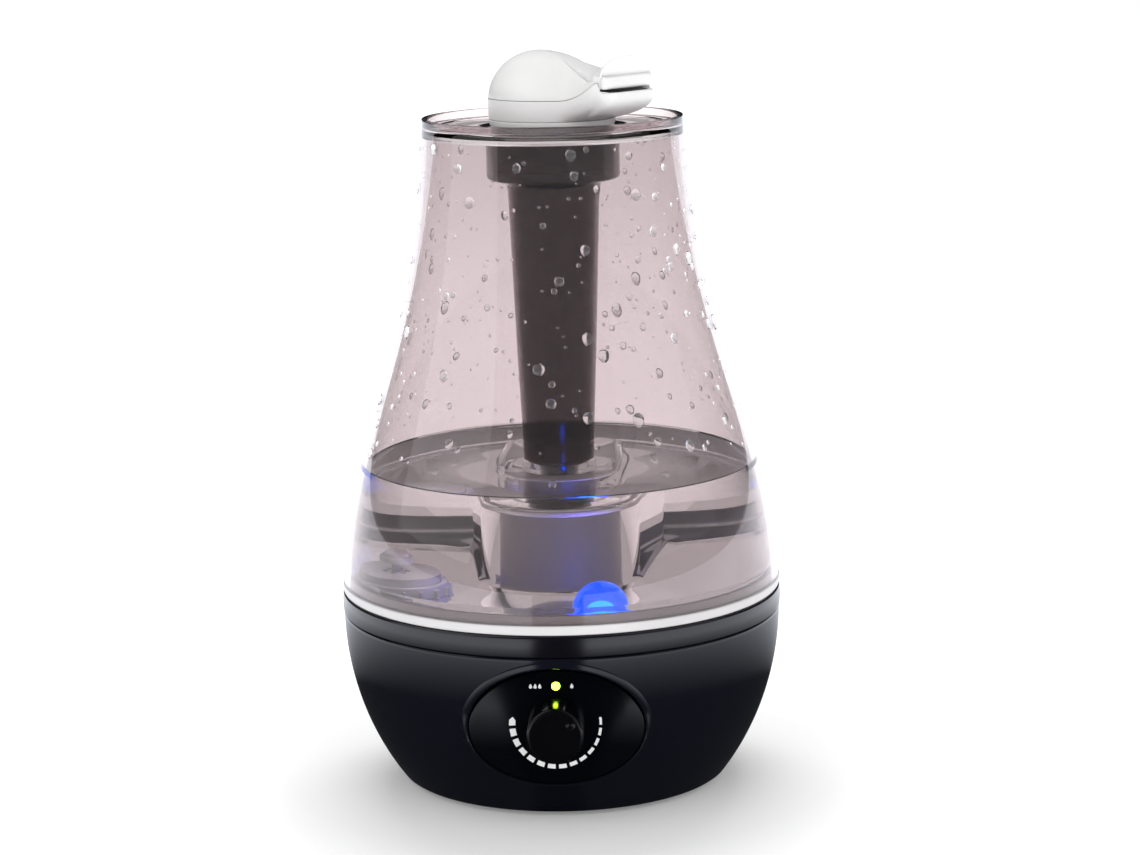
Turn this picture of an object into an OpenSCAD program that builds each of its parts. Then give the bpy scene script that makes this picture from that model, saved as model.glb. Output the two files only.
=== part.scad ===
// Cool mist humidifier: a teardrop water tank on a round electronic base.
// Millimetres, +Z up. The origin is on the tank's axis, at the surface that the feet stand on.
// The control knob points along -Y.

/* [Base] */
// Largest radius of the base bowl
bowl_r = 95; // [94:0.5:96]
// Height of the bowl's widest level
bowl_widest_z = 76; // [75.5:0.5:77]
// Half height of the ellipse that the bowl's side follows
bowl_curve_h = 111; // [108:1:116]
// Wall thickness of the base's plastic parts
base_wall = 2.6; // [2.2:0.1:2.8]
// Height of the seam between bowl and basin
seam_z = 75.2; // [74:0.2:76]
// Height of the basin's rim, on which the tank stands
basin_top_z = 84.6; // [84:0.2:84.8]
// Height of the feet
foot_h = 2; // [1.8:0.1:2]
// Radius of each foot
foot_r = 7; // [5:0.5:7]

/* [Basin] */
// Radius of the basin's inner wall
basin_in_r = 86; // [85.8:0.1:86.4]
// Height of the basin's floor
basin_floor_z = 64.5; // [64:0.1:65]
// Radius of the central well over the transducer
well_r = 24; // [23:0.5:25]
// Height of the well's floor
well_floor_z = 54.5; // [54:0.1:55]

/* [Control panel] */
// Half width of the oval panel
panel_a = 36.5; // [34:0.5:37]
// Half height of the oval panel
panel_b = 24.2; // [22:0.2:24.6]
// Height of the panel's centre
panel_z = 43; // [42:0.5:44]
// Distance of the panel's face from the axis
panel_y = 84; // [83.5:0.1:84.5]
// Diameter of the control knob
knob_d = 23.3; // [21:0.1:24]
// How far the knob's face stands from the axis
knob_face_y = 103; // [100:0.5:104]
// Height of the knob's axis
knob_z = 44.5; // [43.5:0.5:45.5]

/* [Tank] */
// Radius of the tank's foot
tank_foot_r = 94.8; // [94:0.1:95]
// Height of the tank wall's lower edge
tank_foot_z = 88.9; // [88.5:0.1:89.2]
// Radius of the tank's rim
tank_rim_r = 55.6; // [54.5:0.1:57]
// Height of the tank's rim
tank_rim_z = 287.3; // [286.5:0.1:288]
// Wall thickness of the tank
tank_wall = 2.5; // [2:0.1:2.8]
// Height of the deck's top face
deck_z = 284.3; // [284:0.1:284.6]

/* [Mist tube] */
// Outer radius of the collar at the tube's top
collar_r = 28.5; // [28.3:0.1:29]
// Height of the collar's lower end
collar_z = 261.5; // [260:0.5:262]
// Outer radius of the tube under its collar
tube_top_r = 19.6; // [19:0.1:20]
// Outer radius of the tube's lower end
tube_low_r = 15; // [14.9:0.1:15.5]

/* [Mist chamber] */
// Half width of the mist chamber
chamber_w = 26; // [25.5:0.5:27]
// Distance of the chamber's back wall from the axis
chamber_back = 68; // [66:0.5:70]
// Height of the chamber's roof
chamber_z = 121; // [119:0.5:122]

/* [Nozzle] */
// Radius of the nozzle's round part
nozzle_r = 27.5; // [27:0.1:28]
// Direction of the spout, clockwise from +X seen from above
spout_turn = 40; // [0:5:90]
// Height of the seam between nozzle body and cover
nozzle_seam_z = 296; // [295.5:0.1:296.5]
// Height of the dome's top
dome_top_z = 315.4; // [314:0.1:316]

/* [Hidden] */
$fn = 96;
eps = 0.1;
gap = 0.2;

// levels and radii in the base
plate_top_z = foot_h + base_wall;
plate_r = 67.6;
bowl_foot_in_r = plate_r + 0.3;
shelf_z = 27;
shelf_in_r = 64;
post_r = 4;
post_ring_r = 71;
screw_r = 1.5;
screw_head_r = 3;
boss_ring_r = 58;
boss_top_z = 18;
floor_under_z = basin_floor_z - 2.5;
well_under_z = well_floor_z - 2.5;

// places in the plan
chimney_y = 48;
chimney_r = 11;
chimney_in_r = 9;
chimney_top_z = 100;
cap_x = -58;
cap_y = -19;
float_x = 52;
float_y = 10;
dome_x = 17.8;
dome_y = -71;
fan_x = 18;
fan_y = 14;
jack_z = 18;
jack_turn = 32;
boss_turn = 60;

// bay in the basin's front, which leaves room for the panel
bay_y = 76.4;
bay_wall = 2.2;
bay_z = 70;

// panel parts
led_z = 60.6;
led_r = 1.8;
shaft_r = 3;
bushing_r = 4;
panel_t = 2.5;
panel_gap = 0.2;
bezel_t = 1.8;
ledge_w = 2.6;
dimple_turn = 51;

// blower
blower_r = 26;
blower_wall = 1.6;
blower_z = 8;
blower_h = 22;
duct_half_w = 9.6;
riser_r = 10.8;

// tank
tank_steps = 40;
bowl_steps = 24;
tank_floor_z = 87;
ring_z = basin_top_z + gap;
ring_r = 95.2;
cap_r = 16.8;
neck_in_r = 17.2;
neck_r = 19.5;
web_z = 93;
deck_under_z = deck_z - 2.5;
mist_neck_r = 11.5;
dome_r = 11;

// nozzle
plug_r = 25.4;
collar_in_r = 26.2;
flange_top_z = 287;
head_z = flange_top_z + gap;
mouth_s = 42;
mouth_w = 16;
hood_z = 306;
hood_rise = 0.52;
waist_z = 303.5;
nozzle_wall = 1.8;

// -------- helpers --------

module ring(ro, ri, z0, z1) {
    translate([0, 0, z0])
        difference() {
            cylinder(r = ro, h = z1 - z0);
            translate([0, 0, -eps])
                cylinder(r = ri, h = z1 - z0 + 2 * eps);
        }
}

module disc(r, z0, z1) {
    translate([0, 0, z0])
        cylinder(r = r, h = z1 - z0);
}

// cylinder along Y, from y0 to y1
module rod_y(r, y0, y1) {
    translate([0, y0, 0])
        rotate([-90, 0, 0])
            cylinder(r = r, h = y1 - y0);
}

module around(n, r, start = 0) {
    for (i = [0 : n - 1])
        rotate([0, 0, start + i * 360 / n])
            translate([r, 0, 0])
                children();
}

module at_cap() {
    translate([cap_x, cap_y, 0])
        children();
}

module at_float() {
    translate([float_x, float_y, 0])
        children();
}

module at_dome() {
    translate([dome_x, dome_y, 0])
        children();
}

module at_fan() {
    translate([fan_x, fan_y, 0])
        children();
}

// a screw standing on its head at z0, its shank pointing up
module screw_up(z0, length) {
    difference() {
        union() {
            disc(screw_head_r, z0, z0 + 1.8);
            disc(screw_r, z0, z0 + 1.8 + length);
        }
        for (a = [0, 90])
            rotate([0, 0, a])
                translate([-2, -0.4, z0 - eps])
                    cube([4, 0.8, 1]);
    }
}

module oval(a, b, y0, y1) {
    translate([0, y0, panel_z])
        rotate([-90, 0, 0])
            linear_extrude(height = y1 - y0)
                polygon([for (t = [0 : 5 : 355]) [a * cos(t), b * sin(t)]]);
}

function unit(v) = v / norm(v);

// direction of a route at point i, the mean of its two sides
function heading(points, i) =
    let (last = len(points) - 1)
        unit((i < last ? unit(points[i + 1] - points[i]) : [0, 0, 0])
            + (i > 0 ? unit(points[i] - points[i - 1]) : [0, 0, 0]));

// one insulated wire along hand-placed points
module wire(points, r) {
    sides = 8;
    last = len(points) - 1;
    rings = [for (i = [0 : last])
        let (t = heading(points, i), u = unit(cross(t, [0.31, 0.52, 0.8])), v = cross(t, u))
            for (k = [0 : sides - 1])
                points[i] + r * (cos(360 * k / sides) * u + sin(360 * k / sides) * v)];
    walls = [for (i = [0 : last - 1]) for (k = [0 : sides - 1])
        let (n = (k + 1) % sides)
            each [[i * sides + k, (i + 1) * sides + k, (i + 1) * sides + n],
                [i * sides + k, (i + 1) * sides + n, i * sides + n]]];
    polyhedron(points = rings, faces = concat(walls,
        [[for (k = [0 : sides - 1]) k]], [[for (k = [sides - 1 : -1 : 0]) last * sides + k]]));
}

// -------- curves --------

function bowl_radius(z) = bowl_r * sqrt(1 - pow((bowl_widest_z - z) / bowl_curve_h, 2));

function bowl_curve(shrink, z0, z1) =
    [for (i = [0 : bowl_steps])
        let (z = z0 + (z1 - z0) * i / bowl_steps) [bowl_radius(z) - shrink, z]];

function bezier(a, b, c, d, t) =
    pow(1 - t, 3) * a + 3 * pow(1 - t, 2) * t * b + 3 * (1 - t) * t * t * c + pow(t, 3) * d;

function tank_point(t) =
    bezier([tank_foot_r, tank_foot_z], [90, 160], [61.2, 174], [tank_rim_r, tank_rim_z], t);

function tank_curve(shrink) =
    [for (i = [0 : tank_steps]) tank_point(i / tank_steps) - [shrink, 0]];

function reversed(list) = [for (i = [len(list) - 1 : -1 : 0]) list[i]];

// -------- base --------

module bowl_solid(shrink) {
    rotate_extrude($fn = 180)
        polygon(concat([[0, foot_h]], bowl_curve(shrink, foot_h, seam_z), [[0, seam_z]]));
}

module bowl_shell() {
    rotate_extrude($fn = 180)
        polygon(concat(
            bowl_curve(0, foot_h, seam_z),
            reversed(bowl_curve(base_wall, plate_top_z + 1, seam_z)),
            [[bowl_foot_in_r, plate_top_z + 1], [bowl_foot_in_r, foot_h]]));
}

module bowl_screw_bosses() {
    around(4, boss_ring_r, boss_turn) {
        disc(post_r, plate_top_z, boss_top_z);
        translate([0, -1, plate_top_z])
            cube([20, 2, boss_top_z - plate_top_z - 1]);
    }
}

// the shelf that the basin's posts stand on, open at the front for the panel
module bowl_shelf() {
    difference() {
        ring(bowl_r, shelf_in_r, shelf_z, shelf_z + 2.6);
        translate([-panel_a - 4, -100, shelf_z - 1])
            cube([2 * (panel_a + 4), 60, 5]);
    }
}

module base_bowl() {
    color([0.03, 0.03, 0.05])
        difference() {
            union() {
                bowl_shell();
                intersection() {
                    union() {
                        bowl_shelf();
                        bowl_screw_bosses();
                        oval(panel_a + panel_gap + bezel_t, panel_b + panel_gap + bezel_t, -100, -79.8);
                    }
                    bowl_solid(base_wall / 2);
                }
                oval(panel_a + panel_gap + bezel_t, panel_b + panel_gap + bezel_t, -panel_y - 0.6, -80.1);
            }
            oval(panel_a + panel_gap, panel_b + panel_gap, -101, -panel_y + panel_t);
            oval(panel_a - ledge_w, panel_b - ledge_w, -100, -60);
            around(4, boss_ring_r, boss_turn)
                disc(screw_r + 0.1, foot_h, boss_top_z - 3);
            around(4, post_ring_r, 45)
                disc(screw_r + 0.3, shelf_z - 1, shelf_z + 4);
            rotate([0, 0, jack_turn])
                translate([0, 60, jack_z])
                    rod_y(5.7, 0, 30);
        }
}

module basin() {
    color([0.05, 0.05, 0.07])
        difference() {
            union() {
                rotate_extrude($fn = 180)
                    polygon([
                        [well_r, well_under_z], [well_r + 2.5, well_under_z], [well_r + 2.5, floor_under_z],
                        [basin_in_r + 2.4, floor_under_z], [basin_in_r + 2.4, 79], [92.6, 79],
                        [92.6, seam_z + gap],
                        [95.4, seam_z + gap], [95.6, 79], [95.4, 83.8], [94.6, basin_top_z],
                        [basin_in_r + 0.8, basin_top_z], [basin_in_r, basin_top_z - 0.8],
                        [basin_in_r, basin_floor_z], [well_r, basin_floor_z]]);
                disc(well_r + 0.5, well_under_z, well_floor_z);
                translate([0, chimney_y, 0])
                    disc(chimney_r, floor_under_z, chimney_top_z);
                at_cap()
                    disc(2, floor_under_z, 69.9);
                at_float()
                    disc(3, floor_under_z, 82);
                around(4, post_ring_r, 45)
                    disc(post_r, shelf_z + 2.6, floor_under_z + 0.5);
                around(3, 19, 30)
                    disc(3.2, 49, well_under_z + 0.5);
                intersection() {
                    translate([-60, -bay_y - bay_wall, floor_under_z])
                        cube([120, bay_wall, bay_z + bay_wall - floor_under_z]);
                    disc(basin_in_r + 0.5, floor_under_z, 80);
                }
                intersection() {
                    translate([-60, -100, bay_z])
                        cube([120, 100 - bay_y, bay_wall]);
                    disc(basin_in_r + 0.5, floor_under_z, 80);
                }
            }
            translate([-60, -100 - bay_wall, floor_under_z - 1])
                cube([120, 100 - bay_y, bay_z + 1 - floor_under_z]);
            disc(10, well_under_z - 1, well_floor_z + 1);
            translate([0, chimney_y, 0])
                disc(chimney_in_r, floor_under_z - 1, chimney_top_z + 1);
            at_dome()
                disc(4.6, floor_under_z - 1, basin_floor_z + 1);
            around(4, post_ring_r, 45)
                disc(screw_r + 0.1, shelf_z + 2, 42);
            around(3, 19, 30)
                disc(1.3, 48, 53);
        }
}

module basin_seal() {
    color([0.12, 0.12, 0.12])
        ring(92.2, 89, seam_z + 0.4, 78.8);
}

module bottom_plate() {
    color([0.06, 0.06, 0.07])
        difference() {
            disc(plate_r, foot_h, plate_top_z);
            at_fan()
                for (k = [0 : 2])
                    around(6 + 6 * k, 5 + 5 * k)
                        disc(1.7, foot_h - 1, plate_top_z + 1);
            around(4, boss_ring_r, boss_turn)
                disc(screw_r + 0.3, foot_h - 1, plate_top_z + 1);
            around(4, boss_ring_r, boss_turn)
                disc(screw_head_r + 0.4, foot_h - 1, foot_h + 1);
            around(4, 57, 45)
                disc(foot_r + 0.1, foot_h - 1, foot_h + 1);
        }
}

module feet() {
    color([0.1, 0.1, 0.1])
        around(4, 57, 45)
            union() {
                disc(foot_r, 0.6, foot_h + 1);
                disc(foot_r - 0.6, 0, 1);
            }
}

module bottom_screws() {
    color([0.7, 0.7, 0.7])
        around(4, boss_ring_r, boss_turn)
            screw_up(foot_h + 1 - 1.8, 10);
}

module basin_screws() {
    color([0.7, 0.7, 0.7])
        around(4, post_ring_r, 45)
            screw_up(shelf_z - 1.8, 12);
}

// -------- control panel --------

module control_panel() {
    color([0.03, 0.03, 0.04])
        difference() {
            oval(panel_a, panel_b, -panel_y, -panel_y + panel_t);
            translate([0, 0, knob_z])
                rod_y(bushing_r + 0.1, -90, -70);
            translate([0, 0, led_z])
                rod_y(led_r + 0.1, -90, -70);
        }
}

module led_lens() {
    color([0.75, 1, 0.1])
        translate([0, 0, led_z])
            union() {
                rod_y(led_r, -panel_y - 0.4, -79.2);
                rod_y(led_r + 0.8, -81.2, -79.2);
            }
}

module led_board() {
    color([0.1, 0.35, 0.15])
        translate([-12, -79, led_z - 7])
            cube([24, 1.6, 8]);
}

module potentiometer() {
    color([0.6, 0.6, 0.62])
        translate([0, 0, knob_z])
            difference() {
                union() {
                    rod_y(bushing_r, -88, -81);
                    rod_y(8.5, -81.4, -72);
                    translate([-7, -78, -12])
                        cube([14, 1.6, 6]);
                }
                rod_y(shaft_r + 0.06, -90, -73.5);
            }
}

module pot_nut() {
    color([0.8, 0.8, 0.8])
        translate([0, 0, knob_z])
            difference() {
                translate([0, -86.2, 0])
                    rotate([-90, 0, 0])
                        cylinder(r = 6.4, h = 2.1, $fn = 6);
                rod_y(bushing_r + 0.05, -88, -83);
            }
}

module knob() {
    color([0.02, 0.02, 0.03])
        translate([0, 0, knob_z])
            rotate([90, 0, 0])
                difference() {
                    rotate_extrude()
                        polygon([
                            [0, 85], [knob_d / 2, 85], [knob_d / 2, knob_face_y - 1.6],
                            [knob_d / 2 - 0.5, knob_face_y - 0.5], [knob_d / 2 - 1.6, knob_face_y],
                            [0, knob_face_y]]);
                    ring(knob_d / 2 - 1.8, 5.6, 84, 98);
                    disc(5.8, 84, 88.6);
                    disc(shaft_r + 0.03, 88, 100.2);
                    rotate([0, 0, 90 - dimple_turn])
                        translate([knob_d * 0.35, 0, knob_face_y + 1])
                            sphere(r = 1.8, $fn = 32);
                }
}

module knob_shaft() {
    color([0.75, 0.75, 0.75])
        translate([0, 0, knob_z])
            rod_y(shaft_r, -100, -73.8);
}

// -------- electronics --------

module main_board() {
    color([0.1, 0.35, 0.15])
        difference() {
            translate([-60, -36, 12])
                cube([34, 58, 1.6]);
            for (x = [-56, -30], y = [-32, 18])
                translate([x, y, 0])
                    disc(1.7, 11, 15);
        }
}

module board_parts() {
    color([0.15, 0.15, 0.17])
        translate([-60, -36, 13.6]) {
            translate([22, 8, 0])
                disc(5, 0, 14);
            translate([22, 20, 0])
                disc(5, 0, 14);
            translate([6, 26, 0])
                cube([10, 12, 9]);
            translate([22, 30, 0])
                cube([8, 8, 5]);
            translate([8, 10, 0])
                cube([6, 8, 4]);
        }
}

module heat_sink() {
    color([0.7, 0.7, 0.72])
        translate([-56, 4, 13.6]) {
            cube([20, 3, 22]);
            for (i = [0 : 4])
                translate([i * 4.5, 3, 0])
                    cube([2, 9, 22]);
        }
}

module transducer_disc() {
    color([0.85, 0.8, 0.6])
        disc(9.8, 49.2, 50.3);
}

module transducer_gasket() {
    color([0.2, 0.2, 0.2])
        ring(13.6, 8.6, 50.4, well_under_z - 0.05);
}

module transducer_retainer() {
    color([0.75, 0.75, 0.78])
        difference() {
            disc(22.6, 46, 48.9);
            disc(8.6, 45, 50);
            disc(10, 47.4, 50);
            around(3, 19, 30)
                disc(screw_r, 45, 50);
        }
}

module transducer_screws() {
    color([0.7, 0.7, 0.7])
        around(3, 19, 30)
            difference() {
                union() {
                    disc(2.6, 44.4, 45.95);
                    disc(1.2, 44.4, 52.6);
                }
                translate([-1.8, -0.35, 44.2])
                    cube([3.6, 0.7, 0.9]);
            }
}

module light_window() {
    color([0.8, 0.95, 1])
        at_dome()
            union() {
                disc(4.5, floor_under_z - 0.4, basin_floor_z + 0.6);
                disc(5.2, basin_floor_z + 0.05, basin_floor_z + 1.4);
            }
}

module light_led() {
    color([0.6, 0.8, 1])
        at_dome()
            union() {
                disc(2.4, 51.7, 57);
                translate([0, 0, 57])
                    sphere(r = 2.4, $fn = 32);
            }
}

module light_board() {
    color([0.1, 0.35, 0.15])
        at_dome()
            translate([-6, -3.5, 50])
                cube([12, 12, 1.6]);
}

module reed_switch() {
    color([0.8, 0.85, 0.8])
        at_float()
            translate([0, -8, floor_under_z - 1.5])
                rod_y(1.2, 0, 16);
}

module power_jack() {
    color([0.1, 0.1, 0.1])
        rotate([0, 0, jack_turn])
            translate([0, 0, jack_z]) {
                difference() {
                    union() {
                        rod_y(5.4, 66, 80.4);
                        translate([-6.5, 60, -6.5])
                            cube([13, 9, 13]);
                    }
                    rod_y(2.8, 70, 82);
                }
                rod_y(1, 69, 79);
            }
}

module jack_wires() {
    color([0.6, 0.1, 0.1])
        for (d = [-1.6, 1.6])
            wire([[-31 + d, 50 + d, 18], [-30 + d, 44 + d, 20], [-29 + d, 30, 22], [-29 + d, 18, 20],
                [-29.5 + d, 14, 14.8]], 0.9);
}

module fan_wires() {
    color([0.8, 0.2, 0.15])
        for (d = [0, 2.4])
            wire([[6, 13 + d, 36], [0, 13 + d, 37], [-14, 10 + d, 34], [-26, 7 + d, 26],
                [-28, 6 + d, 14.8]], 0.9);
}

module transducer_wires() {
    color([0.15, 0.15, 0.6])
        for (d = [0, 2.4])
            wire([[-6, -d, 44.8], [-14, -4 - d, 42], [-40, -13 - d, 33], [-54, -14 - d, 25],
                [-57, -14 - d, 14.8]], 0.9);
}

// -------- blower --------

module volute(r, z0, z1, half_w, y_end) {
    at_fan()
        disc(r, z0, z1);
    translate([-half_w, fan_y - 2.5, z0])
        cube([2 * half_w, y_end - fan_y + 2.5, z1 - z0]);
}

module blower_housing() {
    color([0.1, 0.1, 0.11])
        difference() {
            volute(blower_r, blower_z, blower_z + blower_h, duct_half_w, chimney_y + 12);
            volute(blower_r - blower_wall, blower_z + blower_wall, blower_z + blower_h - blower_wall,
                duct_half_w - blower_wall, chimney_y + 12 - blower_wall);
            at_fan()
                disc(14, blower_z - 1, blower_z + 3);
            at_fan()
                disc(1.5, blower_z + 5, blower_z + blower_h + 1);
            translate([0, chimney_y, 0])
                disc(7.8, blower_z + 5, blower_z + blower_h + 1);
            at_fan()
                around(3, 8.5)
                    disc(1.2, blower_z + 5, blower_z + blower_h + 1);
        }
}

module air_duct() {
    color([0.12, 0.12, 0.13])
        translate([0, chimney_y, 0])
            union() {
                ring(9.6, 7.8, blower_z + blower_h + 0.05, 50);
                ring(riser_r, 7.8, 50, floor_under_z - 0.1);
            }
}

module fan_motor() {
    color([0.55, 0.55, 0.57])
        at_fan()
            difference() {
                disc(11, blower_z + blower_h + 0.05, 41);
                disc(1.06, 20, 39.5);
                around(3, 8.5)
                    disc(0.9, 20, 34);
            }
}

module blower_screws() {
    color([0.7, 0.7, 0.7])
        at_fan()
            around(3, 8.5)
                union() {
                    disc(0.8, 27.2, 33.6);
                    disc(1.8, 26.9, 28.3);
                }
}

module fan_shaft() {
    color([0.8, 0.8, 0.8])
        at_fan()
            disc(1, 13, 39);
}

module fan_impeller() {
    color([0.2, 0.2, 0.22])
        at_fan() {
            difference() {
                union() {
                    disc(4, 13.2, 22);
                    disc(21, 22, 23.6);
                    ring(21, 18, 12.4, 13.6);
                    around(24, 18)
                        translate([0, -0.5, 12.8])
                            cube([2.8, 1, 9.6]);
                }
                disc(1.02, 12, 24);
            }
        }
}

// -------- float --------

module float_ring() {
    color([0.9, 0.9, 0.85])
        at_float()
            difference() {
                ring(9, 3.4, basin_floor_z + 0.3, 72);
                ring(6.6, 4.6, basin_floor_z, 69.4);
            }
}

module float_magnet() {
    color([0.3, 0.3, 0.32])
        at_float()
            ring(6.5, 4.7, 66.3, 69.3);
}

module float_clip() {
    color([0.9, 0.9, 0.9])
        at_float()
            difference() {
                ring(5, 3.02, 80, 81.4);
                translate([0, -1, 79])
                    cube([6, 2, 4]);
            }
}

// -------- tank --------

module tank_shell() {
    color([0.35, 0.28, 0.3, 0.5])
        difference() {
            rotate_extrude($fn = 180)
                polygon(concat(
                    tank_curve(0),
                    [[tank_rim_r - 0.6, tank_rim_z + 0.4], [tank_rim_r - 2, tank_rim_z + 0.4],
                        [tank_rim_r - 2.6, deck_z], [49.3, deck_z], [48.7, deck_z - 0.6],
                        [collar_in_r, deck_z - 0.6], [collar_in_r, deck_under_z],
                        [tank_rim_r - 1.8, deck_under_z]],
                    reversed([for (i = [0 : tank_steps - 1]) tank_point(i / tank_steps) - [tank_wall, 0]])));
        }
}

module mist_tube() {
    color([0.25, 0.18, 0.2, 0.6])
        rotate_extrude()
            polygon([
                [collar_r, deck_under_z - 0.05], [collar_r, collar_z + 1], [collar_r - 1, collar_z],
                [tube_top_r + 1.6, collar_z - 1.5], [tube_top_r + 0.2, collar_z - 4], [16.8, 178],
                [tube_low_r + 0.4, 147], [tube_low_r, chamber_z + eps], [tube_low_r - 2, chamber_z + eps],
                [tube_low_r - 1.6, 147], [14.8, 178], [tube_top_r - 1.8, collar_z - 4],
                [tube_top_r - 0.4, collar_z + 0.6], [collar_in_r, collar_z + 1.2],
                [collar_in_r, deck_under_z - 0.05]]);
}

module tube_seal() {
    color([0.85, 0.85, 0.85])
        ring(12.9, mist_neck_r + 0.05, chamber_z + 0.3, 126);
}

// outline of the mist chamber, w wide at the front and flat at the back
module chamber_outline(shrink) {
    corner = 12;
    union() {
        circle(r = chamber_w - shrink);
        translate([-(chamber_w - shrink), 0])
            square([2 * (chamber_w - shrink), chamber_back - corner]);
        for (side = [-1, 1])
            translate([side * (chamber_w - corner), chamber_back - corner])
                circle(r = corner - shrink);
        translate([-(chamber_w - corner), 0])
            square([2 * (chamber_w - corner), chamber_back - shrink]);
    }
}

module tank_bottom() {
    color([0.92, 0.92, 0.92])
        difference() {
            union() {
                disc(ring_r - 1, ring_z, tank_floor_z);
                ring(ring_r, ring_r - 4, ring_z + 0.5, tank_foot_z - 0.4);
                ring(ring_r - 0.5, ring_r - 3.5, ring_z, tank_foot_z - 0.05);
                ring(91.6, 89.4, tank_floor_z - 1, 92.4);
                ring(85.3, 83, 79, ring_z + 1);
                translate([0, 0, tank_floor_z - 0.5])
                    linear_extrude(height = chamber_z - tank_floor_z + 0.5)
                        chamber_outline(0);
                disc(mist_neck_r, chamber_z - 1, 131);
                at_cap() {
                    disc(neck_r, 82.4, 92);
                    around(16, neck_r - 0.3)
                        translate([0, -0.8, tank_floor_z - 0.5])
                            cube([1.6, 1.6, 4]);
                }
            }
            translate([0, 0, ring_z - 1])
                linear_extrude(height = chamber_z - 2.2 - ring_z + 1)
                    chamber_outline(2.4);
            disc(9.5, chamber_z - 4, 132);
            at_cap()
                disc(neck_in_r, 80, 94);
            at_dome()
                disc(8.6, ring_z - 1, tank_floor_z + 1);
        }
}

module light_dome() {
    color([0.1, 0.5, 1])
        at_dome()
            rotate_extrude()
                union() {
                    difference() {
                        union() {
                            translate([0, 91])
                                circle(r = dome_r);
                            square([dome_r, 91]);
                        }
                        translate([-20, 0])
                            square([20, 120]);
                        square([20, 88.1]);
                        translate([0, 91])
                            circle(r = dome_r - 2);
                        square([dome_r - 2, 91]);
                    }
                    translate([dome_r - 2, 88.1])
                        square([4, 1.4]);
                }
}

module dome_seal() {
    color([0.85, 0.85, 0.85])
        at_dome()
            ring(12.6, 9, tank_floor_z + 0.05, 88.05);
}

// -------- filler cap and valve --------

module filler_cap() {
    color([0.93, 0.93, 0.93])
        at_cap()
            difference() {
                union() {
                    disc(cap_r, 80, 95);
                    disc(19.4, 79, 81);
                    translate([-15, -2, 76.4])
                        cube([6, 4, 3]);
                    translate([9, -2, 76.4])
                        cube([6, 4, 3]);
                }
                disc(14.4, 78, web_z);
                disc(2, 90, 96);
                around(6, 4.4)
                    disc(1.3, 90, 96);
            }
}

module cap_gasket() {
    color([0.3, 0.3, 0.3])
        at_cap()
            ring(19.3, cap_r + 0.1, 81.05, 82.35);
}

module valve_plunger() {
    color([0.9, 0.9, 0.9])
        at_cap()
            union() {
                disc(5.4, 70, 71.2);
                disc(1.6, 70, 100.6);
                disc(5, 101.1, 102.6);
                disc(1.6, 99, 102);
            }
}

module valve_seal() {
    color([0.25, 0.25, 0.25])
        at_cap()
            ring(7, 1.65, 99.1, 101.05);
}

module helix_wire(r, wire_r, z0, z1, turns) {
    sides = 8;
    count = turns * 18;
    rings = [for (i = [0 : count]) for (k = [0 : sides - 1])
        let (a = 360 * turns * i / count, b = 360 * k / sides)
            [(r + wire_r * cos(b)) * cos(a), (r + wire_r * cos(b)) * sin(a),
                z0 + (z1 - z0) * i / count - wire_r * sin(b)]];
    walls = [for (i = [0 : count - 1]) for (k = [0 : sides - 1])
        let (n = (k + 1) % sides)
            each [[i * sides + k, (i + 1) * sides + k, (i + 1) * sides + n],
                [i * sides + k, (i + 1) * sides + n, i * sides + n]]];
    polyhedron(points = rings, faces = concat(walls,
        [[for (k = [0 : sides - 1]) k]], [[for (k = [sides - 1 : -1 : 0]) count * sides + k]]));
}

module valve_spring() {
    color([0.75, 0.75, 0.77])
        at_cap()
            helix_wire(4, 0.4, 71.7, 92.5, 7);
}

// -------- nozzle --------

module nozzle_base() {
    color([0.95, 0.95, 0.94])
        difference() {
            union() {
                ring(plug_r, plug_r - 2, 266, deck_z + 1);
                ring(nozzle_r, 20, deck_z + 0.05, flange_top_z);
                ring(22, 20, deck_z + 0.05, 290.4);
            }
            ring(plug_r + 1, plug_r - 1, 271.8, 274.2);
        }
}

module nozzle_seal() {
    color([0.85, 0.85, 0.85])
        ring(plug_r + 0.4, plug_r - 0.95, 271.9, 274.1);
}

// everything in the nozzle's head is drawn with its spout along +X
module along_spout() {
    rotate([0, 0, -spout_turn])
        children();
}

// outer form of the tray: a round pan whose one side runs out into the spout
module tray_form(shrink) {
    union() {
        disc(nozzle_r - shrink, head_z + shrink, nozzle_seam_z);
        hull() {
            for (side = [-1, 1]) {
                translate([12, side * (18 - shrink), nozzle_seam_z - 4])
                    disc(3, -3, 4);
                translate([mouth_s + 1 - shrink, side * (mouth_w - 2 - shrink), 293 + shrink])
                    disc(3, -1, 7.4);
                translate([16, side * (12 - shrink), head_z + shrink])
                    disc(3, 0, 1);
            }
        }
    }
}

module nozzle_body() {
    color([0.95, 0.95, 0.94])
        along_spout()
            difference() {
                tray_form(0);
                tray_form(nozzle_wall);
                translate([-40, -40, nozzle_seam_z])
                    cube([100, 80, 30]);
                disc(22.4, head_z - 1, head_z + nozzle_wall + 1);
            }
}

// the dome over the round pan, its peak behind the axis, running down to the spout's waist
module dome_form(shrink) {
    steps = 7;
    rise = dome_top_z - nozzle_seam_z - gap - shrink;
    hull() {
        for (i = [0 : steps])
            let (a = 86 * i / steps)
                translate([-9 * sin(a), 0, nozzle_seam_z + gap + rise * sin(a)])
                    cylinder(r = (nozzle_r - shrink) * cos(a), h = 0.2, $fn = 48);
        translate([26, 0, waist_z - shrink])
            sphere(r = 4.5 - shrink / 2, $fn = 24);
    }
}

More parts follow.
